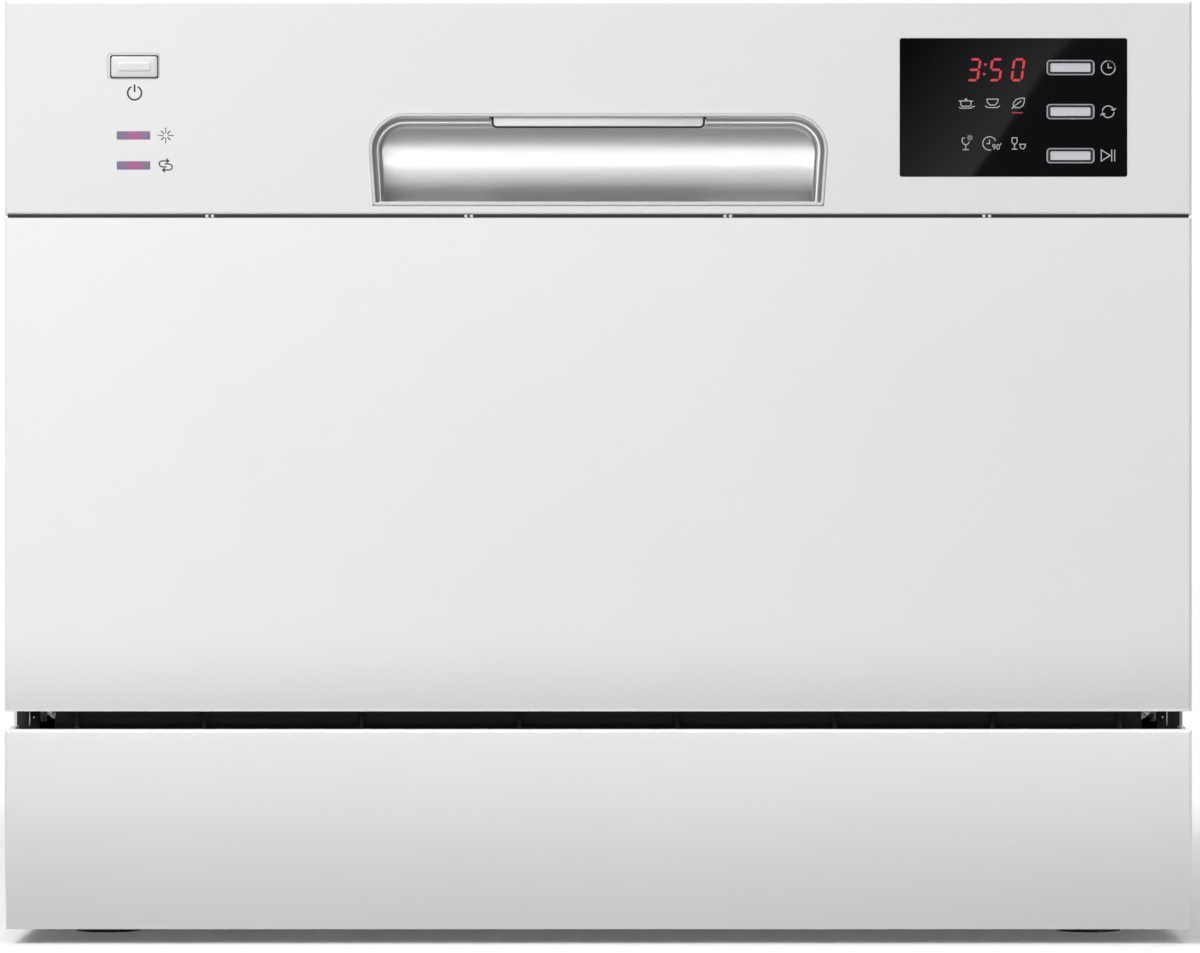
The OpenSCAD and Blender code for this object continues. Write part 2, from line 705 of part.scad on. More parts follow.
module wash_pump() color("gray") difference() {
    union() {
        rod_x(pump_x, pump_x + 32, pump_y, pump_z, rotor_r + 8);
        rod_x(pump_x - 22, pump_x + 1, pump_y, pump_z, 14);
        rod_x(pump_x + 31, pump_x + 38, pump_y, pump_z, 22);
        rod_x(pump_x + 37, pump_x + 120, pump_y, pump_z, 34);
        for (i = [0 : 3]) rod_x(pump_x + 46 + i * 18, pump_x + 52 + i * 18, pump_y, pump_z, 35.5);
        translate([pump_x + 16, pump_y, pump_z + 20]) cylinder(h = 32, r = 12, $fn = 48);
        block([pump_x + 50, pump_y - 26, base_top], [pump_x + 110, pump_y + 26, pump_z - 20]);
    }
    rod_x(pump_x + 4, pump_x + 28, pump_y, pump_z, rotor_r + 3);
    rod_x(pump_x - 23, pump_x + 5, pump_y, pump_z, 11);
    rod_x(pump_x + 27, pump_x + 100, pump_y, pump_z, shaft_r + pin_fit);
    translate([pump_x + 16, pump_y, pump_z + 10]) cylinder(h = 50, r = 9.5, $fn = 48);
}

module pump_rotor() color("white") {
    rod_x(pump_x + 10, pump_x + 98, pump_y, pump_z, shaft_r);
    rod_x(pump_x + 22, pump_x + 25, pump_y, pump_z, rotor_r);
    rod_x(pump_x + 9, pump_x + 23, pump_y, pump_z, shaft_r + 4);
    for (a = [0 : 60 : 300]) translate([0, pump_y, pump_z]) rotate([a, 0, 0])
        block([pump_x + 9, 6, -6], [pump_x + 22.5, rotor_r - 4, -4]);
}

module drain_pump() color("gray") {
    translate([drain_x, drain_y, base_top]) cylinder(h = 46, r = 22, $fn = 48);
    translate([drain_x, drain_y, base_top + 46]) cylinder(h = 18, r = 15, $fn = 48);
    difference() {
        rod_y(drain_x, drain_y + 20, drain_y + 36, port_z, 9);
        rod_y(drain_x, drain_y + 24, drain_y + 37, port_z, 6.5);
    }
}

module water_heater() color("silver") {
    difference() {
        union() {
            rod_y(heater_x, -34, 50, pump_z, 21);
            rod_y(heater_x, -46, -33, pump_z, 12);
            rod_y(heater_x, 49, 62, pump_z, 12);
        }
        rod_y(heater_x, -47, 63, pump_z, 9.5);
    }
    for (y = [-20, 30]) block([heater_x - 12, y - 2, base_top], [heater_x + 12, y + 2, pump_z - 16]);
}

module fine_filter() color("silver") translate([sump_x, sump_y, basin_z]) difference() {
    cylinder(h = 1.4, r = filter_r + 24, $fn = 96);
    translate([0, 0, -1]) cylinder(h = 4, r = filter_r + 0.6, $fn = 96);
    for (ring = [0, 1], a = [0 : 15 : 345]) rotate([0, 0, a + ring * 7.5])
        translate([filter_r + 7 + ring * 9, 0, -1]) cylinder(h = 4, r = 1.6, $fn = 16);
}

module coarse_filter() color("lightgray") translate([sump_x, sump_y, 0]) difference() {
    union() {
        translate([0, 0, sump_z + 8]) cylinder(h = basin_z + 4 - sump_z - 8, r = filter_r - 1.5, $fn = 64);
        translate([0, 0, basin_z + 1.7]) cylinder(h = 2.6, r = filter_r + 4, $fn = 64);
        block([-filter_r + 2, -2.5, basin_z + 4], [filter_r - 2, 2.5, ledge_z + 2]);
    }
    // a cup, open between its top rim and its grip
    translate([0, 0, sump_z + 10]) difference() {
        cylinder(h = basin_z - sump_z + 20, r = filter_r - 3.5, $fn = 64);
        block([-filter_r, -2.5, basin_z - sump_z - 12], [filter_r, 2.5, basin_z - sump_z + 40]);
    }
    for (a = [0 : 30 : 330]) rotate([0, 0, a + 15])
        block([filter_r - 8, -3.4, sump_z + 16], [filter_r + 1, 3.4, basin_z - 6]);
}

// Feed column of the spray arm, with the spigot that the arm turns on
module spray_post() color("gray") translate([0, spray_y, 0]) difference() {
    union() {
        translate([0, 0, basin_z - 26]) cylinder(h = arm_z - 1 - basin_z + 26, r = spigot_r + 4, $fn = 64);
        translate([0, 0, arm_z - 2]) cylinder(h = arm_t + 7, r = spigot_r - pin_fit, $fn = 64);
        translate([0, 0, arm_z + arm_t + 4]) cylinder(h = 2, r = spigot_r + 3, $fn = 64);
        translate([0, 0, basin_z - 14]) rotate([0, 90, 0]) cylinder(h = 20, r = 12, $fn = 48);
        translate([0, 0, basin_z - 6]) cylinder(h = 6 - sheet, r = spigot_r + 10, $fn = 64);
    }
    translate([0, 0, basin_z - 20]) cylinder(h = arm_z + arm_t - basin_z + 20, r = spigot_r - 3, $fn = 48);
    translate([0, 0, basin_z - 14]) rotate([0, 90, 0]) cylinder(h = 21, r = 9.5, $fn = 48);
}

// Two tapered blades with a raised spine and a row of jets
module spray_arm() color("gainsboro") translate([0, spray_y, arm_z]) difference() {
    union() {
        cylinder(h = arm_t + 3, r = spigot_r + 12, $fn = 64);
        for (s = [0, 180]) rotate([0, 0, s]) {
            blade(24, 15, arm_t, 0);
            blade(15, 8, arm_t + 2.2, 10);
        }
    }
    translate([0, 0, -1]) cylinder(h = arm_t + 10, r = spigot_r, $fn = 64);
    for (s = [0, 180], i = [0 : 4]) rotate([0, 0, s])
        translate([52 + i * 30, i % 2 == 0 ? -4 : 4, arm_t - 2]) cylinder(h = 10, r = 1.3, $fn = 16);
}

module blade(root, tip, h, short) linear_extrude(h) {
    end = arm_reach - tip - short;
    polygon([[0, -root], [end, -tip], [end, tip], [0, root]]);
    translate([end, 0]) circle(tip, $fn = 48);
}

module inlet_valve() color("royalblue") {
    y1 = back_y - 1;
    difference() {
        union() {
            rod_y(valve_x, rear_wall_y, y1, port_z, thread_r);
            rod_y(valve_x, rear_wall_y - wall - 10, rear_wall_y + 1, port_z, 11);
            block([valve_x - 16, rear_wall_y - 36, port_z - 14], [valve_x + 16, rear_wall_y - wall - 4, port_z + 18]);
            block([valve_x - 22, rear_wall_y - wall - 5, port_z - 17], [valve_x + 22, rear_wall_y - wall, port_z + 17]);
        }
        rod_y(valve_x, rear_wall_y - 6, y1 + 1, port_z, 7);
    }
}

module drain_spout() color("dimgray") difference() {
    union() {
        rod_y(drain_x, rear_wall_y - 20, back_y - 3, port_z, spout_r);
        rod_y(drain_x, rear_wall_y, rear_wall_y + 2.5, port_z, spout_r + 6);
    }
    rod_y(drain_x, rear_wall_y - 21, back_y, port_z, spout_r - 2.5);
}

module cord_gland() color("black") difference() {
    union() {
        rod_y(gland_x, rear_wall_y - wall - 3, rear_wall_y + 3, port_z, gland_r + 4);
        rod_y(gland_x, rear_wall_y, rear_wall_y + 4, port_z, gland_r + 7);
        rod_y(gland_x, rear_wall_y - wall - 4, rear_wall_y - wall, port_z, gland_r + 6);
    }
    rod_y(gland_x, rear_wall_y - 20, rear_wall_y + 20, port_z, gland_r);
}

// Flat water case beside the tub, with its moulded channels
module air_breaker() color("whitesmoke") mirror([1, 0, 0]) {
    x0 = tub_x + sheet;
    x1 = side_x - skin - 2;
    y0 = -20;
    y1 = rear_wall_y - 40;
    difference() {
        block([x0, y0, ledge_z + 20], [x1, y1, tub_top - 30]);
        block([x1 - 6, y0 + 4, ledge_z + 26], [x1 + 1, y1 - 4, tub_top - 36]);
    }
    // baffles, open at alternate ends
    for (i = [0 : 4]) block([x1 - 7, y0 + (i % 2) * 24, ledge_z + 56 + i * 30],
        [x1, y1 - 24 + (i % 2) * 20, ledge_z + 58 + i * 30]);
    translate([breaker_x, rear_wall_y - 54, ledge_z]) cylinder(h = 21, r = 7, $fn = 32);
}

module inner_hoses() color("dimgray") {
    hose([[sump_x - 60, sump_y, 105], [heater_x, sump_y, 105], [heater_x, sump_y, pump_z], [heater_x, -46, pump_z]],
        12, 9.5, 13);
    hose([[heater_x, 62, pump_z], [heater_x, pump_y, pump_z], [pump_x - 22, pump_y, pump_z]], 12, 9.5, 13);
    hose([[pump_x + 16, pump_y, pump_z + 52], [pump_x + 16, pump_y, basin_z - 14],
        [pump_x + 16, spray_y, basin_z - 14], [20, spray_y, basin_z - 14]], 9.5, 7, 11);
    hose([[sump_x, sump_y + 60, 105], [sump_x, drain_y, 105], [drain_x, drain_y, 105],
        [drain_x, drain_y, base_top + 64]], 9, 6.5, 11);
    hose([[drain_x, drain_y + 36, port_z], [drain_x, rear_wall_y - 20, port_z]], 9, 6.5, 11);
    hose([[valve_x, rear_wall_y - 36, port_z], [valve_x, rear_wall_y - 54, port_z], [valve_x, rear_wall_y - 54, 100],
        [-breaker_x, rear_wall_y - 54, 100], [-breaker_x, rear_wall_y - 54, ledge_z]], 7, 5, 9);
}

module screw_head() {
    cylinder(h = 1.3, r = screw_r, $fn = 24);
    translate([0, 0, 1.3]) cylinder(h = 0.5, r = screw_r - 0.8, $fn = 24);
}

module cabinet_screws() color("silver") {
    y = back_y - 2;
    for (x = [-side_x + 14, -90, 90, side_x - 14], z = [foot_h + base_wall_h + 12, body_h - 12])
        translate([x, y, z]) rotate([-90, 0, 0]) screw_head();
    for (x = [-side_x + 14, side_x - 14]) translate([x, y, body_h / 2 + 30]) rotate([-90, 0, 0]) screw_head();
}

// ---------- door ----------

module door_panel() color("white") {
    difference() {
        front_block(door_bottom, panel_top, door_back);
        block([-side_x + skin, face_y + skin, door_bottom + skin], [side_x - skin, door_back + 1, panel_top - skin]);
        // the lower and upper edges are narrow folds
        block([-side_x + skin, face_y + 10, door_bottom - 1], [side_x - skin, door_back + 1, door_bottom + skin + 1]);
        block([-side_x + skin, face_y + 16, panel_top - skin - 1], [side_x - skin, door_back + 1, panel_top + 1]);
        // the lower rear corners are cut off to swing past the casing
        extrude_x(body_w + 2) polygon([
            [door_back - 12, door_bottom - 1], [door_back + 1, door_bottom - 1], [door_back + 1, door_bottom + 12],
        ]);
    }
    // folds that meet the liner
    both_sides() block([liner_x + fit, door_back - skin, return_z], [side_x - skin / 2, door_back, panel_top - 0.1]);
}

module control_console() color("white") {
    difference() {
        front_block(console_bottom, body_h, door_back);
        block([-side_x + wall, face_y + wall, console_bottom + wall], [side_x - wall, door_back + 1, body_h - wall]);
        block([-side_x + wall, face_y + 18, console_bottom - 1], [side_x - wall, door_back + 1, console_bottom + wall + 1]);
        extrude_y(front_y - 1, face_y + wall + 1) {
            cup_outline(fit);
            translate([lens_x, lens_z]) round_rect(lens_w + 2 * fit, lens_h + 2 * fit, 1 + fit);
            translate([power_x, power_z]) round_rect(power_w + 2 * run_gap, power_h + 2 * run_gap, 1.4);
            for (i = [0, 1]) translate([power_x, lamp_z - i * lamp_pitch])
                square([lamp_w + 2 * fit, lamp_h + 2 * fit], center = true);
        }
    }
    both_sides() block([liner_x + fit, door_back - wall, console_bottom + wall], [side_x - wall / 2, door_back, body_h - wall / 2]);
    // posts that hold the boards
    for (x = [lens_x - lens_w / 2 - 5, lens_x + lens_w / 2 + 5], z = [lens_z - 22, lens_z + 22])
        rod_y(x, face_y + wall - 0.5, board_y, z, 3);
    for (x = [power_x - 17, power_x + 17], z = [power_z - 20, power_z - 40])
        rod_y(x, face_y + wall - 0.5, board_y, z, 3);
}

module cup_outline(grow) translate([0, -grow])
    cup_arch(handle_w + 2 * grow, cup_z0, cup_z1 + 2 * grow, handle_corner_r + handle_rim_top + grow);

module cup_opening() cup_arch(handle_w - 2 * handle_rim_side, cup_z0 + handle_rim_top, cup_open_top, handle_corner_r);

// Upper corners round, sides leaning in towards the lower edge
module cup_arch(w, z0, z1, r) {
    polygon([
        [-w / 2 + handle_lean, z0], [w / 2 - handle_lean, z0], [w / 2, z1 - r],
        [w / 2 - r, z1], [-w / 2 + r, z1], [-w / 2, z1 - r],
    ]);
    for (s = [-1, 1]) translate([s * (w / 2 - r), z1 - r]) circle(r, $fn = 64);
}

// Handle cup: a moulded shell with a cylindrical hollow behind a thin raised rim
module handle_cup() color("silver") {
    difference() {
        union() {
            extrude_y(front_y, face_y + wall) cup_outline(0);
            intersection() {
                extrude_y(front_y, face_y + 60) cup_outline(0);
                extrude_x(handle_w + 2) translate([hollow_y, hollow_z]) circle(hollow_r + cup_wall, $fn = 128);
            }
        }
        intersection() {
            extrude_y(front_y - 1, face_y + 60) cup_opening();
            extrude_x(handle_w) translate([hollow_y, hollow_z]) circle(hollow_r, $fn = 128);
        }
        // the latch lever hangs through here
        block([-lever_w / 2 - 0.8, lever_lip_y - 3, cup_open_top - 1], [lever_w / 2 + 0.8, lever_lip_y + 4.2, cup_z1 + 1]);
    }
    // ears that hold the lever's pins
    both_sides() difference() {
        block([lever_w / 2 + 2, lever_y - 4.4, cup_z1 - 0.5], [lever_w / 2 + 2 + lever_ear_t, lever_y + 4.4, lever_z + 4.5]);
        rod_x(lever_w / 2, lever_w / 2 + 8, lever_y, lever_z, lever_pin_r + pin_fit);
    }
}

// Finger plate under the cup's upper edge, on a barrel with a pin at each end
module latch_lever() color("silver") {
    lip_t = 3;
    lip_z0 = cup_open_top - lever_drop;
    lip_z1 = lever_z - 1;
    extrude_y(lever_lip_y, lever_lip_y + lip_t) polygon([
        [-lever_w / 2 + 1.6, lip_z0], [lever_w / 2 - 1.6, lip_z0], [lever_w / 2, lip_z0 + 1.6],
        [lever_w / 2, lip_z1], [-lever_w / 2, lip_z1], [-lever_w / 2, lip_z0 + 1.6],
    ]);
    block([-lever_w / 2, lever_lip_y, lip_z1 - 2.6], [lever_w / 2, lever_y, lip_z1]);
    rod_x(-lever_w / 2 - 1.4, lever_w / 2 + 1.4, lever_y, lever_z, 3);
    rod_x(-lever_w / 2 - 2 - lever_ear_t, lever_w / 2 + 2 + lever_ear_t, lever_y, lever_z, lever_pin_r);
}

module display_lens() color("black") difference() {
    extrude_y(face_y - 0.2, face_y + 2) translate([lens_x, lens_z]) round_rect(lens_w, lens_h, 1);
    at_keys() extrude_y(front_y - 1, face_y + 3) stadium(ring_w + 2 * fit, ring_h + 2 * fit);
}

module at_keys() for (i = [-1 : 1]) translate([key_x, 0, key_z + i * key_pitch]) children();

module button_rings() color("lavender") at_keys() {
    extrude_y(front_y + 0.1, face_y + 4) difference() {
        stadium(ring_w, ring_h);
        stadium(key_w + 2 * run_gap, key_h + 2 * run_gap);
    }
    // foot that stands on the board
    extrude_y(face_y + 3.5, board_y) for (s = [-1, 1])
        translate([s * (ring_w / 2 - 0.4), 0]) square([0.8, 3], center = true);
}

// A key cap with a stem that ends just in front of its switch
module key(i) color("lightsteelblue") translate([key_x, 0, key_z + i * key_pitch]) {
    extrude_y(front_y, face_y + 5) stadium(key_w, key_h);
    rod_y(0, face_y + 4.5, switch_y - key_travel - 0.3, 0, 1.6);
}
module delay_button() key(1);
module program_button() key(0);
module start_button() key(-1);

module power_button() color("white") translate([power_x, 0, power_z]) {
    extrude_y(front_y + 0.4, face_y + 5) round_rect(power_w, power_h, 1);
    extrude_y(front_y, front_y + 1) round_rect(power_w - 7, power_h - 6.6, 0.8);
    rod_y(0, face_y + 4.5, switch_y - key_travel - 0.3, 0, 2.4);
}

module indicator_lamps() color("plum") for (i = [0, 1])
    extrude_y(face_y - 0.1, board_y - 2) translate([power_x, lamp_z - i * lamp_pitch]) square([lamp_w, lamp_h], center = true);

// Circuit boards on the console's posts, with their switches, display block and lamps
module control_boards() color("darkgreen") {
    block([lens_x - lens_w / 2 - 8, board_y, lens_z - 26], [lens_x + lens_w / 2 + 8, board_y + board_t, lens_z + 26]);
    block([lens_x - lens_w / 2 + 10, face_y + 3, lens_z - 14], [key_x - ring_w / 2 - 4, board_y + 0.5, lens_z + 24]);
    at_keys() switch();
    block([power_x - 20, board_y, power_z - 52], [power_x + 20, board_y + board_t, power_z + 10]);
    translate([power_x, 0, power_z]) switch();
    for (i = [0, 1]) rod_y(power_x, board_y - 1.8, board_y + 0.5, lamp_z - i * lamp_pitch, 1.5);
}
module switch() {
    block([-3, board_y - 3.6, -3], [3, board_y + 0.5, 3]);
    rod_y(0, switch_y, board_y, 0, 1.7);
}

module door_lock() color("dimgray") {
    difference() {
        block([-24, hook_y - 12, hook_z - 13], [24, door_back - sheet, liner_top]);
        block([-hook_w / 2 - 0.8, hook_y - 8.5, hook_z - 14], [hook_w / 2 + 0.8, door_back + 1, body_h]);
    }
    rod_x(-hook_w / 2 - 3, hook_w / 2 + 3, hook_y, hook_z, hook_pin_r);
}

module latch_hook() color("silver") difference() {
    extrude_x(hook_w) {
        translate([hook_y, hook_z]) circle(6, $fn = 48);
        polygon([
            [hook_y - 4, hook_z + 3], [hook_y + 5, hook_z], [hook_y + 13, hook_bar_z], [bar_y - 1.5, hook_bar_z],
            [bar_y + 3.6, bar_z1 + nose_gap], [bar_y + 8, bar_z1 + nose_gap], [bar_y + 8, hook_bar_z + hook_bar_t - 1],
            [bar_y + 6, hook_bar_z + hook_bar_t], [hook_y + 8, hook_bar_z + hook_bar_t],
        ]);
    }
    rod_x(-hook_w, hook_w, hook_y, hook_z, hook_pin_r + pin_fit);
}

// Steel inner door: a flat border for the seal, a raised field and an apron below
module inner_liner() color("silver") {
    y0 = door_back - sheet;
    field_zc = (field_z0 + field_z1) / 2;
    difference() {
        union() {
            extrude_y(y0, door_back) {
                translate([-low_liner_x, pivot_z]) square([2 * low_liner_x, liner_top - pivot_z]);
                translate([-liner_x, return_z]) square([2 * liner_x, liner_top - return_z]);
            }
            extrude_y(y0, field_y) translate([0, field_zc]) round_rect(2 * field_x, field_z1 - field_z0, 20);
        }
        extrude_y(y0 - 1, field_y - sheet) translate([0, field_zc])
            round_rect(2 * (field_x - sheet), field_z1 - field_z0 - 2 * sheet, 20 - sheet);
        block([-hook_w / 2 - 1.5, y0 - 1, hook_bar_z - 6], [hook_w / 2 + 1.5, door_back + 1, liner_top - 1]);
        block([dish_x - dish_w / 2 + 4, y0 - 1, dish_z - dish_h / 2 + 4], [dish_x + dish_w / 2 - 4, field_y + 1, dish_z + dish_h / 2 - 4]);
    }
    // side folds that the hinge arms are fixed to
    both_sides() block([liner_x - sheet, door_back - 26, return_z], [liner_x, door_back - sheet / 2, liner_top]);
    // apron that closes the door below
    apron_z = door_bottom + skin;
    extrude_x(2 * (low_liner_x - 1)) polygon([
        [door_back, pivot_z], [door_back, pivot_z + 1], [y0, pivot_z + 1], [y0, pivot_z + 0.5],
        [pivot_y + 13, apron_z + sheet], [face_y + 5, apron_z + sheet], [face_y + 5, apron_z],
        [pivot_y + 13.4, apron_z],
    ]);
}

module dispenser_body() color("whitesmoke") {
    w = dish_w - 8.4;
    h = dish_h - 8.4;
    difference() {
        union() {
            extrude_y(field_y, dish_y) translate([dish_x, dish_z]) round_rect(dish_w, dish_h, 8);
            extrude_y(field_y - 22, field_y + 1) translate([dish_x, dish_z]) square([w, h], center = true);
        }
        // detergent chamber
        extrude_y(dish_y - 19, dish_y + 1) translate([lid_x, dish_z]) round_rect(lid_w - 10, lid_h - 12, 8);
        // seat of the rinse aid cap, and its filling hole
        rod_y(cap_x, dish_y - 4, dish_y + 1, dish_z, cap_r + 0.5);
        rod_y(cap_x, dish_y - 14, dish_y - 3, dish_z, cap_r - 5);
        rod_y(catch_x, dish_y - 9, dish_y + 1, dish_z, catch_r + pin_fit);
    }
    // rails that the lid slides in
    for (s = [-1, 1]) translate([0, 0, dish_z + s * (lid_h / 2 + 1.5 + fit)]) {
        block([lid_x - lid_w / 2 - lid_travel, dish_y - 0.5, -1.5], [lid_x + lid_w / 2, dish_y + lid_t + 2, 1.5]);
        block([lid_x - lid_w / 2 - lid_travel, dish_y + lid_t + 0.6, s > 0 ? -4 : -1.5],
            [lid_x + lid_w / 2, dish_y + lid_t + 2, s > 0 ? 1.5 : 4]);
    }
}

module dispenser_lid() color("lightsteelblue") {
    block([lid_x - lid_w / 2, dish_y + 0.3, dish_z - lid_h / 2], [lid_x + lid_w / 2, dish_y + 0.3 + lid_t, dish_z + lid_h / 2]);
    for (i = [0 : 3]) block([lid_x - 12 + i * 6, dish_y + lid_t, dish_z - 18], [lid_x - 10 + i * 6, dish_y + lid_t + 2, dish_z + 18]);
}

module dispenser_catch() color("steelblue") {
    rod_y(catch_x, dish_y - 6, dish_y + 3, dish_z, catch_r);
}

module rinse_aid_cap() color("steelblue") difference() {
    union() {
        rod_y(cap_x, dish_y - 3.7, dish_y + 2.5, dish_z, cap_r);
        rod_y(cap_x, dish_y - 12, dish_y - 3, dish_z, cap_r - 6);
        translate([cap_x, 0, dish_z]) block([-cap_r + 3, dish_y + 2, -2.5], [cap_r - 3, dish_y + 5, 2.5]);
    }
    rod_y(cap_x, dish_y - 13, dish_y - 5, dish_z, cap_r - 9);
}

// Plates fixed to the liner's side folds; each turns on a frame's pin and ends in a spring tail
module hinge_arms() color("silver") both_sides() extrude_x_at(arm_x, plate_t) difference() {
    union() {
        translate([pivot_y, pivot_z]) circle(11, $fn = 48);
        translate([pivot_y - 8, pivot_z]) square([30, 95]);
        polygon([
            [pivot_y - 6, pivot_z + 4], [pivot_y + 6, pivot_z - 9], [pivot_y + 17, pivot_z - 20],
            [pivot_y + 23, pivot_z - 15], [pivot_y + 20, pivot_z + 6],
        ]);
    }
    translate([pivot_y, pivot_z]) circle(pin_r + pin_fit, $fn = 48);
    translate([pivot_y + tail_y, pivot_z + tail_z]) circle(1.3, $fn = 24);
}

module door_screws() color("silver") {
    both_sides() for (z = [return_z + 20, (return_z + liner_top) / 2, liner_top - 20])
        translate([liner_x - 3.6, door_back, z]) rotate([-90, 0, 0]) cylinder(h = 1.4, r = 3, $fn = 24);
}

// ---------- rack ----------

module rack_floor() color("white") {
    x1 = rack_x - post_r;
    for (i = [0 : cross_n]) wire_x(-x1, x1, cross_y0 + i * wire_pitch, cross_z, wire_r);
    for (x = [-rack_x + rack_corner_r + 2, -35, 150]) wire_y(x, rack_y0 + frame_r, rack_y1 - frame_r, rack_z + 0.3, frame_r);
}

// Front and back walls
module rack_ends() color("white") for (y = [rack_y0, rack_y1]) {
    x1 = rack_x - rack_corner_r;
    n = floor(2 * x1 / 36);
    pitch = (2 * x1 - 12) / n;
    wire_x(-x1, x1, y, rack_top, rim_r);
    wire_x(-x1, x1, y, rack_z, frame_r);
    wire_x(-x1, x1, y, rack_z + rack_h * 0.52, post_r);
    for (i = [0 : n]) wire_z(-x1 + 6 + i * pitch, y, rack_z, rack_top, post_r);
}

// Side walls with the rounded corners, the shelf's pivot wire and the wheel brackets
module rack_sides() color("white") both_sides() {
    y0 = rack_y0 + rack_corner_r;
    y1 = rack_y1 - rack_corner_r;
    n = floor((y1 - y0) / 36);
    pitch = (y1 - y0 - 12) / n;
    wire_y(rack_x, y0, y1, rack_top, rim_r);
    wire_y(rack_x, y0, y1, rack_z, frame_r);
    rod_y(rack_x, y0 + 3, y1 - 3, shelf_pivot_z, shelf_pivot_r);
    for (i = [0 : n]) wire_z(rack_x, y0 + 6 + i * pitch, rack_z, rack_top, post_r);
    for (end = [0, 1], level = [0, 1]) translate([rack_x - rack_corner_r, end == 0 ? y0 : y1, level == 0 ? rack_z : rack_top])
        rotate([0, 0, end == 0 ? -90 : 0]) rotate_extrude(angle = 90, $fn = 24)
            translate([rack_corner_r, 0]) rotate(22.5) circle((level == 0 ? frame_r : rim_r) / cos(22.5), $fn = 8);
    for (y = [wheel_y0, wheel_y1]) {
        block([rack_x - 2, y - 6, wheel_z - 5], [rack_x + 1, y + 6, rack_z + 0.5]);
        rod_x(rack_x, wheel_x - wheel_w / 2 - 0.3, y, wheel_z, axle_r + 2);
        rod_x(rack_x, wheel_x + wheel_w / 2 + 1, y, wheel_z, axle_r);
        rod_x(wheel_x + wheel_w / 2 + 0.3, wheel_x + wheel_w / 2 + 1.5, y, wheel_z, axle_r + 1.2);
    }
}

// Rows of tines on their own base wires, between the cross wires
module plate_tines() color("white") for (x = tine_rows) {
    wire_y(x, rack_y0 + frame_r, rack_y1 - frame_r, rack_z, frame_r);
    for (i = [0 : cross_n - 1]) {
        y = cross_y0 + (i + 0.5) * wire_pitch;
        wire_z(x, y, rack_z, rack_z + tine_h, post_r);
        wire_z(x, y, rack_z + tine_h - 0.5, rack_z + tine_h + 0.7, post_r - 0.5);
    }
}

// Fold-up shelf on the left wall, clipped round the wall's upper wire
module cup_shelf() color("white") {
    y1 = shelf_y0 + shelf_d;
    x0 = -rack_x + 6;
    wire_y(x0, shelf_y0, y1, shelf_z, post_r);
    wire_y(shelf_x1, shelf_y0, y1, shelf_z, post_r);
    for (i = [0 : 6]) wire_x(x0, shelf_x1, shelf_y0 + 2 + i * (shelf_d - 4) / 6, shelf_z, post_r);
    for (y = shelf_clip_y()) difference() {
        union() {
            rod_y(-rack_x, y - 5, y + 5, shelf_pivot_z, 3.6);
            block([-rack_x - 1, y - 5, shelf_z - 1.5], [x0 + 1.5, y + 5, shelf_pivot_z - 1]);
        }
        rod_y(-rack_x, y - 6, y + 6, shelf_pivot_z, shelf_pivot_r + pin_fit);
    }
}

// The clips sit half way between two posts of the side wall
function shelf_clip_y() = let (
    y0 = rack_y0 + rack_corner_r,
    y1 = rack_y1 - rack_corner_r,
    n = floor((y1 - y0) / 36),
    pitch = (y1 - y0 - 12) / n
) [y0 + 6 + 1.5 * pitch, y0 + 6 + 4.5 * pitch];

// Slotted basket with a divider that carries the grip
module cutlery_basket() color("lightgray") {
    w = basket_x1 - basket_x0;
    x0 = basket_x0;
    z0 = floor_top;
    t = 1.8;
    n = 9;
    cell = (basket_d - 2 * t) / n;
    difference() {
        block([x0, basket_y0, z0], [basket_x1, basket_y0 + basket_d, z0 + basket_h]);
        block([x0 + t, basket_y0 + t, z0 + t], [basket_x1 - t, basket_y0 + basket_d - t, z0 + basket_h + 1]);
        for (i = [0 : n - 1], row = [0, 1]) {
            y = basket_y0 + t + (i + 0.5) * cell;
            block([x0 - 1, y - cell / 2 + 3, z0 + 8 + row * 42], [basket_x1 + 1, y + cell / 2 - 3, z0 + 42 + row * 42]);
        }
        for (i = [0 : 3], row = [0, 1])
            block([x0 + 8 + i * (w - 12) / 4, basket_y0 - 1, z0 + 8 + row * 42],
                [x0 + 4 + (i + 1) * (w - 12) / 4, basket_y0 + basket_d + 1, z0 + 42 + row * 42]);
        for (i = [0 : n - 1], j = [0 : 3])
            block([x0 + 8 + j * (w - 12) / 4, basket_y0 + t + i * cell + 4, z0 - 1],
                [x0 + 4 + (j + 1) * (w - 12) / 4, basket_y0 + t + (i + 1) * cell - 4, z0 + 4]);
    }
    difference() {
        block([x0 + w / 2 - 1, basket_y0 + t / 2, z0 + t / 2], [x0 + w / 2 + 1, basket_y0 + basket_d - t / 2, z0 + basket_h + 4]);
        for (i = [0 : n - 1])
            block([x0, basket_y0 + t + i * cell + 5, z0 + 14], [basket_x1, basket_y0 + t + (i + 1) * cell - 5, z0 + basket_h - 18]);
    }
}

module wheel_pair(y) both_sides() translate([wheel_x, y, wheel_z]) rotate([0, 90, 0]) difference() {
    translate([0, 0, -wheel_w / 2]) cylinder(h = wheel_w, r = wheel_r, $fn = 64);
    translate([0, 0, -wheel_w]) cylinder(h = 2 * wheel_w, r = axle_r + pin_fit, $fn = 48);
    // the web is thinner than the tread
    for (s = [-1, 1]) translate([0, 0, s * wheel_w / 2]) difference() {
        cylinder(h = 3, r = wheel_r - 2, center = true, $fn = 64);
        cylinder(h = 4, r = axle_r + 2, center = true, $fn = 48);
    }
}
module front_wheels() color("gainsboro") wheel_pair(wheel_y0);
module rear_wheels() color("gainsboro") wheel_pair(wheel_y1);

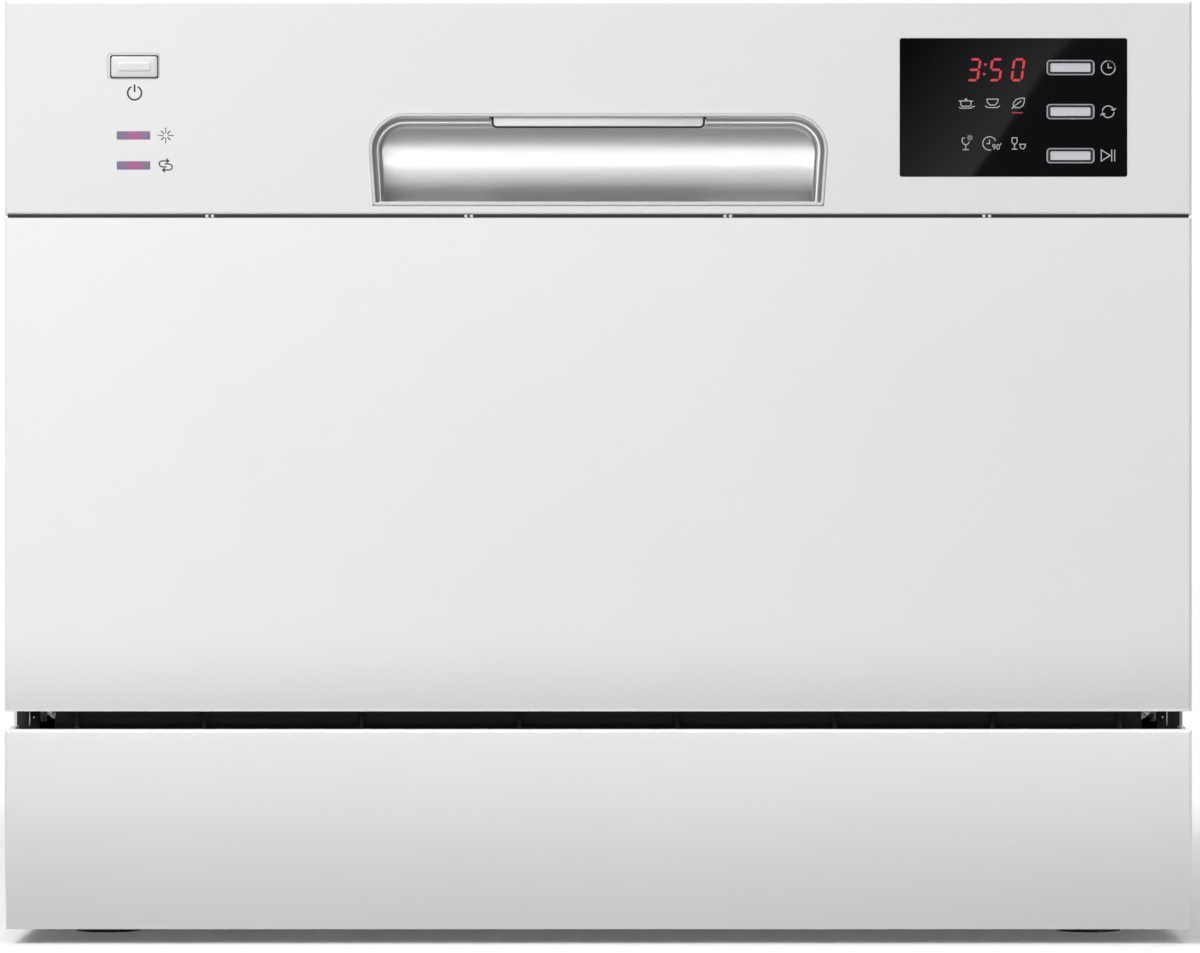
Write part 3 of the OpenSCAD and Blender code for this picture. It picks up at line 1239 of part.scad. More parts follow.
outer_casing();
rear_panel();
base_tray();
toe_guard();
kick_panel();
feet();
side_frames();
door_springs();
tub_wrap();
tub_back();
tub_floor();
door_seal();
sill_seal();
strike_plate();
sump();
softener();
wash_pump();
drain_pump();
water_heater();
fine_filter();
spray_post();
inlet_valve();
drain_spout();
cord_gland();
air_breaker();
inner_hoses();
cabinet_screws();
door_panel();
control_console();
handle_cup();
display_lens();
button_rings();
indicator_lamps();
control_boards();
door_lock();
inner_liner();
dispenser_body();
hinge_arms();
door_screws();
power_button();
delay_button();
program_button();
start_button();
latch_lever();
latch_hook();
dispenser_lid();
dispenser_catch();
rinse_aid_cap();
spray_arm();
coarse_filter();
salt_cap();
pump_rotor();
rack_floor();
rack_ends();
rack_sides();
plate_tines();
cup_shelf();
cutlery_basket();
front_wheels();
rear_wheels();
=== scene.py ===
"""Looks of a countertop dishwasher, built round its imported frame. Metres, +Z up, front towards -Y."""

import math

import bmesh
import bpy
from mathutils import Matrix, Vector


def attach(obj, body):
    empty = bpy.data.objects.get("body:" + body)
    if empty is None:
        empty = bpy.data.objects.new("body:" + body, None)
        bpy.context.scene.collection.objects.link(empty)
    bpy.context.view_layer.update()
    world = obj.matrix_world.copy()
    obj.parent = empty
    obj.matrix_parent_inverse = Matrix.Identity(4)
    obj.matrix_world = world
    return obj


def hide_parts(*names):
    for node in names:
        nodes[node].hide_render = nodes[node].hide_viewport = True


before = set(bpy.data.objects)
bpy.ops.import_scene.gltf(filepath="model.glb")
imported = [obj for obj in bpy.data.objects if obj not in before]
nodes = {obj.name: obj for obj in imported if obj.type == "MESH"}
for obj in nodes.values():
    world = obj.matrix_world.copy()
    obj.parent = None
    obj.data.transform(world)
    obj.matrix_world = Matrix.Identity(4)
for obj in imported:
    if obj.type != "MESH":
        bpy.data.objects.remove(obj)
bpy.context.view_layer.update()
MM = 0.001

# ---- camera and light


def put(name, data):
    """A new object in the scene."""
    obj = bpy.data.objects.new(name, data)
    bpy.context.scene.collection.objects.link(obj)
    return obj


cam_data = bpy.data.cameras.new("camera")
cam = put("camera", cam_data)
cam.location = (0.0008, -3.6, 0.2176)
cam.rotation_euler = (math.radians(90), 0, 0)
cam_data.lens = 217
cam_data.sensor_width = 36
cam_data.clip_start = 0.05
cam_data.clip_end = 60
bpy.context.scene.camera = cam


def area(name, place, target, size, watts, spread=180):
    """A soft box that faces its target."""
    data = bpy.data.lights.new(name, "AREA")
    data.shape = "RECTANGLE"
    data.size, data.size_y = size
    data.energy = watts
    data.spread = math.radians(spread)
    lamp = put(name, data)
    lamp.location = place
    lamp.rotation_euler = (Vector(target) - Vector(place)).to_track_quat("-Z", "Y").to_euler()
    lamp.visible_camera = False
    return lamp


def only_lights(lamp, *names):
    """Keeps a lamp's light to the named pieces."""
    group = bpy.data.collections.new(lamp.name + "_on")
    for name in names:
        group.objects.link(bpy.data.objects[name])
    lamp.light_linking.receiver_collection = group


def leave_out(name, pieces):
    """A collection of everything but the named pieces, for light linking."""
    group = bpy.data.collections.new(name)
    for piece_name in pieces:
        group.objects.link(bpy.data.objects[piece_name])
    for entry in group.collection_objects:
        entry.light_linking.link_state = "EXCLUDE"
    return group


def spare(lamp, *names):
    """Takes some pieces out of a lamp's light."""
    lamp.light_linking.receiver_collection = leave_out(lamp.name + "_off", names)


AIM = (0, -0.2, 0.25)
KEY_PLACE = (-1.3, -2.3, 2.0)
KEY_BOX = (1.4, 1.0)

# the main light from the upper left, with a lower twin that is the door's own
key = area("key", KEY_PLACE, AIM, KEY_BOX, 70)
door_key = area("door_key", (-1.3, -2.3, 1.6), (0, -0.2, 0.22), KEY_BOX, 64)
front = area("front", (-0.5, -4.4, 1.0), AIM, (2.6, 1.2), 23)
left = area("left", (-2.4, -0.30, 0.35), (-0.3, -0.25, 0.25), (0.45, 1.0), 6)
right = area("right", (2.4, -0.30, 0.35), (0.3, -0.25, 0.25), (0.45, 1.0), 9)
area("top", (0, -0.2, 2.6), (0, -0.2, 0.2), (2.2, 0.7), 12)
area("back", (0.3, 2.6, 1.7), (0, 0.2, 0.2), (2.0, 1.4), 20)

# low lights that reach into the toe trough and over the floor under the front edge
low = area("low", (0, -1.5, 0.06), (0, -0.25, 0.1), (1.4, 0.06), 5)
floor_low = area("floor_low", (0, -1.5, 0.06), (0, -0.25, 0.02), (1.4, 0.05), 3.2, spread=20)

# a light from below that edges the white front pieces
under = area("under", (0, -0.262, -0.5), (0, -0.262, 0.3), (1.1, 0.02), 2.3)

# a low strip that only the handle's metal reflects, and a tall weak box for the cup alone
strip = area("handle_card", (-0.12, -1.25, 0.15), (-0.02, -0.2, 0.36), (1.1, 0.19), 2.0)
cup_fill = area("cup_fill", (-0.5, -1.8, 1.35), (0, -0.2, 0.36), (1.6, 1.9), 8.8)

# the kick panel's own main light, and a strip that lifts its upper edge
kick_key = area("kick_key", KEY_PLACE, AIM, KEY_BOX, 46)
kick_top = area("kick_top", (0, -0.36, 0.20), (0, -0.25, 0.07), (1.0, 0.05), 0.54)


def flag():
    """A screen that shades the door's lower part from its key light, and nothing else."""
    mesh = bpy.data.meshes.new("flag")
    x0, x1, y, z0, z1 = -1.6, 1.2, -0.42, 0.02, 0.215
    mesh.from_pydata([(x0, y, z0), (x1, y, z0), (x1, y, z1), (x0, y, z1)], [], [[0, 1, 2, 3]])
    mesh.materials.append(shader("flag", (0.02, 0.02, 0.02), 0.9))
    obj = put("flag", mesh)
    for ray in ("camera", "diffuse", "glossy", "transmission"):
        setattr(obj, "visible_" + ray, False)
    group = bpy.data.collections.new("flag_shades")
    group.objects.link(obj)
    door_key.light_linking.blocker_collection = group
    for lamp in [o for o in bpy.context.scene.objects if o.type == "LIGHT" and o not in (door_key, under)]:
        others = bpy.data.collections.new(lamp.name + "_shades")
        others.objects.link(obj)
        lamp.light_linking.blocker_collection = others
        others.collection_objects[0].light_linking.link_state = "EXCLUDE"


# ---- materials


def shader(name, colour, rough, metal=0.0, **more):
    """A Principled material. Numbers that are the same all over go on its own sockets."""
    mat = bpy.data.materials.new(name)
    mat.use_nodes = True
    bsdf = mat.node_tree.nodes["Principled BSDF"]
    bsdf.inputs["Base Color"].default_value = (*colour, 1)
    bsdf.inputs["Roughness"].default_value = rough
    bsdf.inputs["Metallic"].default_value = metal
    for socket, value in more.items():
        bsdf.inputs[socket.replace("_", " ")].default_value = value
    mat.diffuse_color = (*colour, 1)
    return mat


def node(mat, kind, **values):
    """A node of a material or a world, with some of its settings and unlinked sockets set."""
    made = mat.node_tree.nodes.new(kind)
    for name, value in values.items():
        if hasattr(made, name):
            setattr(made, name, value)
        else:
            made.inputs[name.replace("_", " ")].default_value = value
    return made


def link(mat, a, b):
    mat.node_tree.links.new(a, b)


def place(mat, scale=(1, 1, 1)):
    """Object coordinates in metres, stretched by scale."""
    coords = node(mat, "ShaderNodeTexCoord")
    mapping = node(mat, "ShaderNodeMapping", Scale=scale)
    link(mat, coords.outputs["Object"], mapping.inputs["Vector"])
    return mapping.outputs["Vector"]


def noise(mat, where, scale, detail=3.0, rough=0.5):
    made = node(mat, "ShaderNodeTexNoise", Scale=scale, Detail=detail, Roughness=rough)
    link(mat, where, made.inputs["Vector"])
    return made.outputs["Fac"]


def spread(mat, value, low, high):
    """A 0-1 value turned into low-high."""
    made = node(mat, "ShaderNodeMapRange", To_Min=low, To_Max=high)
    link(mat, value, made.inputs["Value"])
    return made.outputs["Result"]


def maths(mat, operation, *values):
    """One sum, with plain numbers or sockets as its values."""
    made = node(mat, "ShaderNodeMath", operation=operation)
    for socket, value in zip(made.inputs, values):
        if isinstance(value, float):
            socket.default_value = value
        else:
            link(mat, value, socket)
    return made.outputs[0]


def ramp(mat, value, stops):
    made = node(mat, "ShaderNodeValToRGB")
    band = made.color_ramp
    while len(band.elements) < len(stops):
        band.elements.new(0.5)
    for element, (at, colour) in zip(band.elements, stops):
        element.position = at
        element.color = (*colour, 1)
    link(mat, value, made.inputs["Fac"])
    return made.outputs["Color"]


def bump(mat, value, strength, distance, before=None):
    made = node(mat, "ShaderNodeBump", Strength=strength, Distance=distance)
    link(mat, value, made.inputs["Height"])
    if before is not None:
        link(mat, before, made.inputs["Normal"])
    return made.outputs["Normal"]


def bsdf_of(mat):
    return mat.node_tree.nodes["Principled BSDF"]


def feed(mat, value, socket):
    """Wires a value to a socket of the material's shader."""
    link(mat, value, bsdf_of(mat).inputs[socket])


def tint(mat, value, low, high):
    """Base colour that wanders between two close tones."""
    feed(mat, ramp(mat, value, [(0.3, low), (0.7, high)]), "Base Color")


def painted(name, colour, rough=0.32, peel=0.05):
    """Baked enamel on sheet steel: fine orange peel and slow roughness changes."""
    mat = shader(name, colour, rough, Coat_Weight=0.18, Coat_Roughness=0.12, Coat_IOR=1.5)
    where = place(mat)
    low = tuple(c * 0.985 for c in colour)
    tint(mat, noise(mat, where, 6, 2), low, colour)
    feed(mat, spread(mat, noise(mat, where, 14, 3), rough - 0.03, rough + 0.05), "Roughness")
    fine = bump(mat, noise(mat, where, 900, 2), peel, 0.0002)
    feed(mat, bump(mat, noise(mat, where, 240, 2), peel, 0.0003, fine), "Normal")
    return mat


def moulded(name, colour, rough=0.42, grain=0.12, scale=1600, variation=0.04):
    """Injection moulded plastic: spark-eroded grain, faint flow and a little colour drift."""
    mat = shader(name, colour, rough)
    where = place(mat)
    tint(mat, noise(mat, where, 22, 3), tuple(c * (1 - variation) for c in colour), colour)
    feed(mat, spread(mat, noise(mat, where, 40, 4), rough - 0.05, rough + 0.07), "Roughness")
    fine = bump(mat, noise(mat, where, scale, 3), grain, 0.0002)
    feed(mat, bump(mat, noise(mat, place(mat, (1, 1, 0.3)), 30, 2), 0.05, 0.0005, fine), "Normal")
    return mat


def steel(name, colour, rough, stretch=(1, 1, 1), brush=0.25, scale=900, metal=1.0):
    """Stainless sheet: long brush lines across the rolling direction and soft smears."""
    mat = shader(name, colour, rough, metal)
    lines = noise(mat, place(mat, stretch), scale, 4, 0.65)
    smear = spread(mat, noise(mat, place(mat), 9, 3), rough - 0.03, rough + 0.06)
    feed(mat, maths(mat, "ADD", spread(mat, lines, -0.07, 0.09), smear), "Roughness")
    tint(mat, lines, tuple(c * 0.93 for c in colour), colour)
    feed(mat, bump(mat, lines, brush, 0.00008), "Normal")
    return mat


def rubber(name, colour):
    mat = shader(name, colour, 0.62, Sheen_Weight=0.12, Sheen_Roughness=0.5)
    where = place(mat)
    tint(mat, noise(mat, where, 60, 4), tuple(c * 0.7 for c in colour), colour)
    feed(mat, bump(mat, noise(mat, where, 1400, 3), 0.2, 0.0003), "Normal")
    return mat


# painted shade: near-black rubber for the strip in the console's seam and the pads at the toe gap's ends, both
# put there to darken them
shade_black = rubber("shade_rubber", (0.012, 0.012, 0.013))
white_paint = painted("white_enamel", (0.80, 0.80, 0.80))
side_paint = painted("casing_enamel", (0.79, 0.79, 0.795), 0.36, 0.09)
zinc_paint = painted("rear_enamel", (0.62, 0.63, 0.64), 0.42, 0.12)
white_plastic = moulded("white_plastic", (0.78, 0.78, 0.785), 0.36, 0.08)
pale_plastic = moulded("pale_plastic", (0.60, 0.61, 0.62))
grey_plastic = moulded("grey_plastic", (0.30, 0.31, 0.32))
basket_plastic = moulded("basket_plastic", (0.44, 0.45, 0.46), 0.4)
dark_plastic = moulded("dark_plastic", (0.045, 0.046, 0.048), 0.5, 0.2)
black_plastic = moulded("black_plastic", (0.030, 0.030, 0.032), 0.46, 0.16)
# painted highlight: the ribs are a lighter copy of the trough's black plastic, for the light their edges catch
lit_rib_plastic = moulded("lit_rib_plastic", (0.10, 0.10, 0.105), 0.4, 0.1)
blue_plastic = moulded("blue_plastic", (0.09, 0.23, 0.42), 0.38)
clear_blue = moulded("lid_plastic", (0.46, 0.56, 0.66), 0.3)
board_green = moulded("circuit_board", (0.02, 0.12, 0.05), 0.5)
tub_steel = steel("tub_steel", (0.80, 0.80, 0.81), 0.32, (0.25, 0.25, 30), metal=0.92)
liner_steel = steel("liner_steel", (0.82, 0.82, 0.83), 0.33, (0.2, 1, 26), metal=0.92)
frame_steel = steel("galvanised_steel", (0.55, 0.56, 0.57), 0.38, (1, 1, 1), 0.2, 120)
bright_steel = steel("bright_steel", (0.70, 0.70, 0.71), 0.18, (1, 1, 1), 0.08, 400)
wire_coat = moulded("wire_coating", (0.62, 0.63, 0.645), 0.3, 0.05, 2200)
# painted shade: the lever's metal is a darker copy of the cup's, for the shade the lever sits in under the
# cup's top
lever_shaded_metal = steel("lever_aluminium_shaded", (0.58, 0.58, 0.59), 0.32, (0.15, 14, 14), 0.16, 420)
cup_metal = steel("cup_aluminium", (0.72, 0.72, 0.73), 0.36, (0.15, 14, 14), 0.16, 420)
# white lacquer for the cup's rim, its white also standing in for the rim's bright highlight: partly painted
# highlight
rim_white_highlight = painted("rim_lacquer_highlight", (0.92, 0.92, 0.92), 0.28, 0.03)
# painted shade: near-black for the lever plate's edge faces, in place of the shade along its edge
lever_edge_shade = moulded("lever_edge_shade", (0.05, 0.05, 0.052), 0.5, 0.1)
seal_rubber = rubber("seal_rubber", (0.06, 0.06, 0.064))
hose_rubber = rubber("hose_rubber", (0.09, 0.09, 0.095))
key_plastic = moulded("key_plastic", (0.61, 0.61, 0.66), 0.24, 0.05, 2400)
ring_plastic = moulded("ring_chrome", (0.36, 0.36, 0.385), 0.22, 0.03, 2400)
well_plastic = moulded("key_well", (0.012, 0.012, 0.014), 0.5, 0.1)


def lamp_finish():
    """Violet window with a warm glow in its middle."""
    window_x, half_width = -0.2148, 0.0055
    mat = shader("lamp_window", (0.22, 0.18, 0.27), 0.22)
    parts = node(mat, "ShaderNodeSeparateXYZ")
    link(mat, place(mat), parts.inputs[0])
    away = maths(mat, "ABSOLUTE", maths(mat, "SUBTRACT", parts.outputs["X"], window_x))
    share = maths(mat, "DIVIDE", away, half_width)
    warm = ramp(mat, share, [(0.0, (0.46, 0.09, 0.31)), (1.0, (0.21, 0.155, 0.28))])
    grain = noise(mat, place(mat), 1500, 2)
    speck = node(mat, "ShaderNodeMix", data_type="RGBA", blend_type="MULTIPLY")
    speck.inputs["Factor"].default_value = 0.5
    link(mat, warm, speck.inputs["A"])
    link(mat, ramp(mat, grain, [(0.3, (0.8, 0.8, 0.8)), (0.7, (1, 1, 1))]), speck.inputs["B"])
    feed(mat, speck.outputs["Result"], "Base Color")
    feed(mat, spread(mat, grain, 0.18, 0.28), "Roughness")
    return mat


lamp_plastic = lamp_finish()
gloss_black = shader("display_glass", (0.003, 0.003, 0.004), 0.02, IOR=1.22)
feed(gloss_black, spread(gloss_black, noise(gloss_black, place(gloss_black), 30, 2), 0.015, 0.03), "Roughness")

FINISHES = (
    (side_paint, "outer_casing"),
    (zinc_paint, "rear_panel"),
    (white_paint, "kick_panel door_panel control_console"),
    (white_plastic, "power_button pump_rotor"),
    (pale_plastic, "softener air_breaker dispenser_body spray_arm"),
    (grey_plastic, "sump wash_pump drain_pump spray_post coarse_filter front_wheels rear_wheels"),
    (dark_plastic, "base_tray drain_spout door_lock"),
    (black_plastic, "toe_guard cord_gland"),
    (blue_plastic, "inlet_valve dispenser_catch rinse_aid_cap salt_cap"),
    (clear_blue, "dispenser_lid"),
    (board_green, "control_boards"),
    (basket_plastic, "cutlery_basket"),
    (key_plastic, "delay_button program_button start_button"),
    (ring_plastic, "button_rings"),
    (lamp_plastic, "indicator_lamps"),
    (gloss_black, "display_lens"),
    (cup_metal, "handle_cup latch_lever"),
    (tub_steel, "tub_wrap tub_back tub_floor"),
    (liner_steel, "inner_liner"),
    (frame_steel, "side_frames"),
    (bright_steel, "door_springs strike_plate water_heater fine_filter hinge_arms latch_hook"),
    (bright_steel, "cabinet_screws door_screws"),
    (wire_coat, "rack_floor rack_ends rack_sides plate_tines cup_shelf"),
    (seal_rubber, "feet door_seal sill_seal"),
    (hose_rubber, "inner_hoses"),
)
for finish, names in FINISHES:
    for name in names.split():
        mesh = nodes[name].data
        mesh.materials.clear()
        mesh.materials.append(finish)

# ---- edges of the CAD pieces


def soften(name, width, segments=3, angle=35):
    """Rounds a CAD piece's sharp edges by a modifier, without touching its mesh."""
    obj = nodes[name]
    weld = obj.modifiers.new("join", "WELD")
    weld.merge_threshold = 2e-6
    flat = obj.modifiers.new("flat", "DECIMATE")
    flat.decimate_type = "DISSOLVE"
    flat.angle_limit = math.radians(0.6)
    edge = obj.modifiers.new("edge", "BEVEL")
    edge.width = width * MM
    edge.segments = segments
    edge.limit_method = "ANGLE"
    edge.angle_limit = math.radians(angle)
    edge.use_clamp_overlap = True
    even = obj.modifiers.new("even", "WEIGHTED_NORMAL")
    even.weight = 100
    even.thresh = 0.1
    obj.data.shade_smooth()


SOFT_EDGES = {
    "door_panel": 0.6, "control_console": 0.45, "kick_panel": 0.9, "display_lens": 0.22,
    "indicator_lamps": 0.15, "base_tray": 0.4, "feet": 0.3,
    "dispenser_lid": 0.4, "dispenser_body": 0.5, "rinse_aid_cap": 0.4, "dispenser_catch": 0.4,
    "salt_cap": 0.5, "spray_arm": 0.8, "coarse_filter": 0.25, "hinge_arms": 0.25, "side_frames": 0.25,
    "latch_hook": 0.3, "strike_plate": 0.2, "inlet_valve": 0.4, "drain_spout": 0.3, "cord_gland": 0.4,
    "softener": 0.8, "wash_pump": 0.4, "drain_pump": 0.4, "door_lock": 0.4, "cabinet_screws": 0.2,
}
for name, width in SOFT_EDGES.items():
    soften(name, width)

# ---- floor and backdrop


def floor_finish():
    """Pale matt sheet that runs out into the white of the studio, and throws back less light than it shows."""
    first_colour, second_colour, mixed_colour = 6, 7, 2
    mat = shader("floor", (0.80, 0.80, 0.80), 0.75)
    where = place(mat)
    path = node(mat, "ShaderNodeLightPath")
    tone = node(mat, "ShaderNodeMix", data_type="RGBA")
    link(mat, path.outputs["Is Camera Ray"], tone.inputs["Factor"])
    tone.inputs[first_colour].default_value = (0.13, 0.13, 0.13, 1)
    seen = ramp(mat, noise(mat, where, 1.5, 2), [(0.3, (0.90, 0.90, 0.90)), (0.7, (0.92, 0.92, 0.92))])
    link(mat, seen, tone.inputs[second_colour])
    feed(mat, tone.outputs[mixed_colour], "Base Color")
    away = node(mat, "ShaderNodeVectorMath", operation="LENGTH")
    link(mat, where, away.inputs[0])
    fade = node(mat, "ShaderNodeMapRange", interpolation_type="SMOOTHSTEP", From_Min=0.55, From_Max=1.5)
    link(mat, away.outputs["Value"], fade.inputs["Value"])
    glare = node(mat, "ShaderNodeEmission")
    mixed = node(mat, "ShaderNodeMixShader")
    out = mat.node_tree.nodes["Material Output"]
    shown = maths(mat, "MULTIPLY", fade.outputs["Result"], path.outputs["Is Camera Ray"])
    link(mat, shown, mixed.inputs["Fac"])
    link(mat, bsdf_of(mat).outputs[0], mixed.inputs[1])
    link(mat, glare.outputs[0], mixed.inputs[2])
    link(mat, mixed.outputs[0], out.inputs["Surface"])
    return mat


def floor():
    """A seamless pale sheet, far larger than the object."""
    bm = bmesh.new()
    steps, span = 24, 24
    for i in range(steps + 1):
        for j in range(steps + 1):
            bm.verts.new(((i / steps - 0.5) * span, (j / steps - 0.5) * span, 0))
    bm.verts.ensure_lookup_table()
    row = steps + 1
    for i in range(steps):
        for j in range(steps):
            bm.faces.new([bm.verts[i * row + j], bm.verts[(i + 1) * row + j],
                          bm.verts[(i + 1) * row + j + 1], bm.verts[i * row + j + 1]])
    mesh = bpy.data.meshes.new("floor")
    bm.to_mesh(mesh)
    bm.free()
    mesh.materials.append(floor_finish())
    put("floor", mesh)


def white_world():
    """A plain white studio, dimmer as light than as a backdrop."""
    world = bpy.data.worlds.new("studio")
    bpy.context.scene.world = world
    world.use_nodes = True
    world.node_tree.nodes.clear()
    out = node(world, "ShaderNodeOutputWorld")
    seen = node(world, "ShaderNodeBackground", Color=(1, 1, 1, 1), Strength=1.05)
    lit = node(world, "ShaderNodeBackground", Color=(0.97, 0.985, 1, 1), Strength=0.3)
    path = node(world, "ShaderNodeLightPath")
    mix = node(world, "ShaderNodeMixShader")
    link(world, path.outputs["Is Camera Ray"], mix.inputs["Fac"])
    link(world, lit.outputs[0], mix.inputs[1])
    link(world, seen.outputs[0], mix.inputs[2])
    link(world, mix.outputs[0], out.inputs["Surface"])


floor()
white_world()
bpy.context.scene.view_settings.view_transform = "Standard"
bpy.context.scene.view_settings.look = "None"

# ---- mesh helpers

# radius at which turned shapes close round their axis, so that no two points fall together
CORE = 0.01


def piece(name, verts, faces, mat, body, smooth=True, replaces=()):
    """A mesh in millimetres that rides on a body. Each face list refers to its own points."""
    mesh = bpy.data.meshes.new(name)
    mesh.from_pydata([tuple(c * MM for c in v) for v in verts], [], faces)
    bm = bmesh.new()
    bm.from_mesh(mesh)
    bmesh.ops.recalc_face_normals(bm, faces=bm.faces)
    bm.to_mesh(mesh)
    bm.free()
    mesh.materials.append(mat)
    obj = put(name, mesh)
    if smooth:
        mesh.shade_smooth()
        mesh.set_sharp_from_angle(angle=math.radians(38))
    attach(obj, body)
    if replaces:
        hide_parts(*replaces)
    return obj


class Shape:
    """Collects the points and faces of several closed forms."""

    def __init__(self):
        self.verts = []
        self.faces = []

    def add(self, verts, faces):
        first = len(self.verts)
        self.verts += [tuple(v) for v in verts]
        self.faces += [[first + i for i in f] for f in faces]

    def loft(self, rings, closed=False, caps=True):
        """Joins rings of equally many points. The ends are closed with fans."""
        n = len(rings[0])
        verts = [p for ring in rings for p in ring]
        faces = []
        last = len(rings) if closed else len(rings) - 1
        for i in range(last):
            a, b = i * n, (i + 1) % len(rings) * n
            for j in range(n):
                k = (j + 1) % n
                faces.append([a + j, a + k, b + k, b + j])
        if caps and not closed:
            faces.append(list(range(n - 1, -1, -1)))
            faces.append([(len(rings) - 1) * n + j for j in range(n)])
        self.add(verts, faces)

    def tube(self, path, radius, sides=12, closed=False, tip=True):
        """A round wire along a path, with domed ends."""
        points = [Vector(p) for p in path]
        count = len(points)
        if closed:
            along = [(points[(i + 1) % count] - points[i - 1]).normalized() for i in range(count)]
        else:
            last = count - 1
            along = [(points[min(i + 1, last)] - points[max(i - 1, 0)]).normalized() for i in range(count)]
        side = along[0].orthogonal().normalized()
        rings = []
        sizes = [radius] * count
        if not closed and tip:
            dome = [(0.0, 0.35), (0.12, 0.7), (0.4, 0.93)]
            head = [(points[0] + along[0] * radius * t, s) for t, s in dome]
            tail = [(points[-1] - along[-1] * radius * t, s) for t, s in reversed(dome)]
            head.append((points[0] + along[0] * radius, 1))
            tail.insert(0, (points[-1] - along[-1] * radius, 1))
            points = [p for p, _ in head] + points[1:-1] + [p for p, _ in tail]
            sizes = [radius * s for _, s in head] + [radius] * (count - 2) + [radius * s for _, s in tail]
            along = [along[0]] * len(head) + along[1:-1] + [along[-1]] * len(tail)
        for point, direction, size in zip(points, along, sizes):
            side = (side - direction * side.dot(direction)).normalized()
            up = direction.cross(side)
            rings.append([point + (side * math.cos(a) + up * math.sin(a)) * size
                          for a in (2 * math.pi * k / sides for k in range(sides))])
        self.loft(rings, closed)

    def turned(self, profile, centre, axis="z", sides=48):
        """A closed (radius, height) outline turned about an axis through centre."""
        rings = []
        for k in range(sides):
            a = 2 * math.pi * k / sides
            ring = []
            for r, h in profile:
                u, v = r * math.cos(a), r * math.sin(a)
                offset = {"z": (u, v, h), "x": (h, u, v), "y": (u, h, v)}[axis]
                ring.append([c + o for c, o in zip(centre, offset)])
            rings.append(ring)
        self.loft(rings, closed=True)

    def slab(self, outline, y0, y1, edge, steps=2):
        """An outline of (x, z) points between two depths, its front edge at y0 rounded."""
        layers = []
        for k in range(steps + 1):
            a = math.pi / 2 * k / steps
            layers.append((outline, edge * (1 - math.sin(a)), y0 + edge * (1 - math.cos(a))))
        self.stack(layers + [(outline, 0, y1)])

    def stack(self, layers, closed=False):
        """Joins (outline, inset, y) layers, each an outline of (x, z) points moved inwards."""
        self.loft([[(x, y, z) for x, z in inset(outline, d)] for outline, d, y in layers], closed)

    def across(self, outline, x0, x1):
        """An outline of (y, z) points drawn out along x."""
        self.loft([[(x, y, z) for y, z in outline] for x in (x0, x1)])

    def pin(self, radius, start, end, centre, axis, sides):
        """A plain round bar between two places on an axis."""
        self.turned([(CORE, start), (radius, start), (radius, end), (CORE, end)], centre, axis, sides)

    def make(self, name, mat, body, **more):
        return piece(name, self.verts, self.faces, mat, body, **more)


def inset(outline, d):
    """The outline of a convex or gently curved shape, moved inwards by d."""
    if d == 0:
        return list(outline)
    n = len(outline)
    turn = sum(p[0] * q[1] - q[0] * p[1] for p, q in zip(outline, outline[1:] + outline[:1]))
    sign = 1 if turn > 0 else -1
    out = []
    for i in range(n):
        p, q, r = (Vector(outline[(i + k) % n]) for k in (-1, 0, 1))
        a, b = (q - p).normalized(), (r - q).normalized()
        na, nb = Vector((-a.y, a.x)) * sign, Vector((-b.y, b.x)) * sign
        mid = (na + nb).normalized()
        out.append(tuple(q + mid * (d / max(mid.dot(na), 0.3))))
    return out


def rounded(x0, x1, z0, z1, r, steps=6, lower=None):
    """A rectangle with round corners, anticlockwise from its lower right."""
    low = r if lower is None else lower
    corners = [(x1 - low, z0 + low, low, -90), (x1 - r, z1 - r, r, 0),
               (x0 + r, z1 - r, r, 90), (x0 + low, z0 + low, low, 180)]
    out = []
    for cx, cz, cr, start in corners:
        for k in range(steps + 1):
            a = math.radians(start + 90 * k / steps)
            out.append((cx + cr * math.cos(a), cz + cr * math.sin(a)))
    return out


def centred(x, z, half_w, half_h, corner, steps=6):
    """A rectangle with round corners about its centre."""
    return rounded(x - half_w, x + half_w, z - half_h, z + half_h, corner, steps)


def ring_path(cx, cz, r, start=0, end=360, steps=28):
    """Points on a circle or a stretch of it. A whole circle would have as many points as steps."""
    count = max(int(steps * abs(end - start) / 360), 3)
    whole = abs(end - start) >= 360
    stops = [start + (end - start) * k / count for k in range(count if whole else count + 1)]
    return [(cx + r * math.cos(math.radians(a)), cz + r * math.sin(math.radians(a))) for a in stops]


def bent(corners, radius, steps=6, closed=False):
    """A path through corner points, with its corners rounded."""
    pts = [Vector(c) for c in corners]
    n = len(pts)
    out = []
    for i, p in enumerate(pts):
        if not closed and i in (0, n - 1):
            out.append(p)
            continue
        before, after = pts[i - 1], pts[(i + 1) % n]
        a, b = (before - p).normalized(), (after - p).normalized()
        half = a.angle(b) / 2
        reach = min(radius / math.tan(half), (before - p).length * 0.49, (after - p).length * 0.49)
        r = reach * math.tan(half)
        centre = p + (a + b).normalized() * (r / math.sin(half))
        start, end = p + a * reach - centre, p + b * reach - centre
        for k in range(steps + 1):
            out.append(centre + arc(start, end, k / steps))
    return out


def arc(start, end, t):
    """A point on the circle from start to end about the origin."""
    angle = start.angle(end)
    if angle < 1e-6:
        return start.lerp(end, t)
    return (start * math.sin((1 - t) * angle) + end * math.sin(t * angle)) / math.sin(angle)


# ---- planes of the frame, in mm

# fronts of the console and of the display's glass, along y
FACE, LENS_FRONT = -249.2, -249.4
# the door's hinge axis as (y, z), and what goes round it
PIVOT = (-228.2, 123.0)
SCOOP_R, TROUGH_R, TROUGH_X, TROUGH_BACK = 26.25, 30.85, 255.0, -195.05
TROUGH_ARC, RIB_PITCH = (237, 360), 73.8
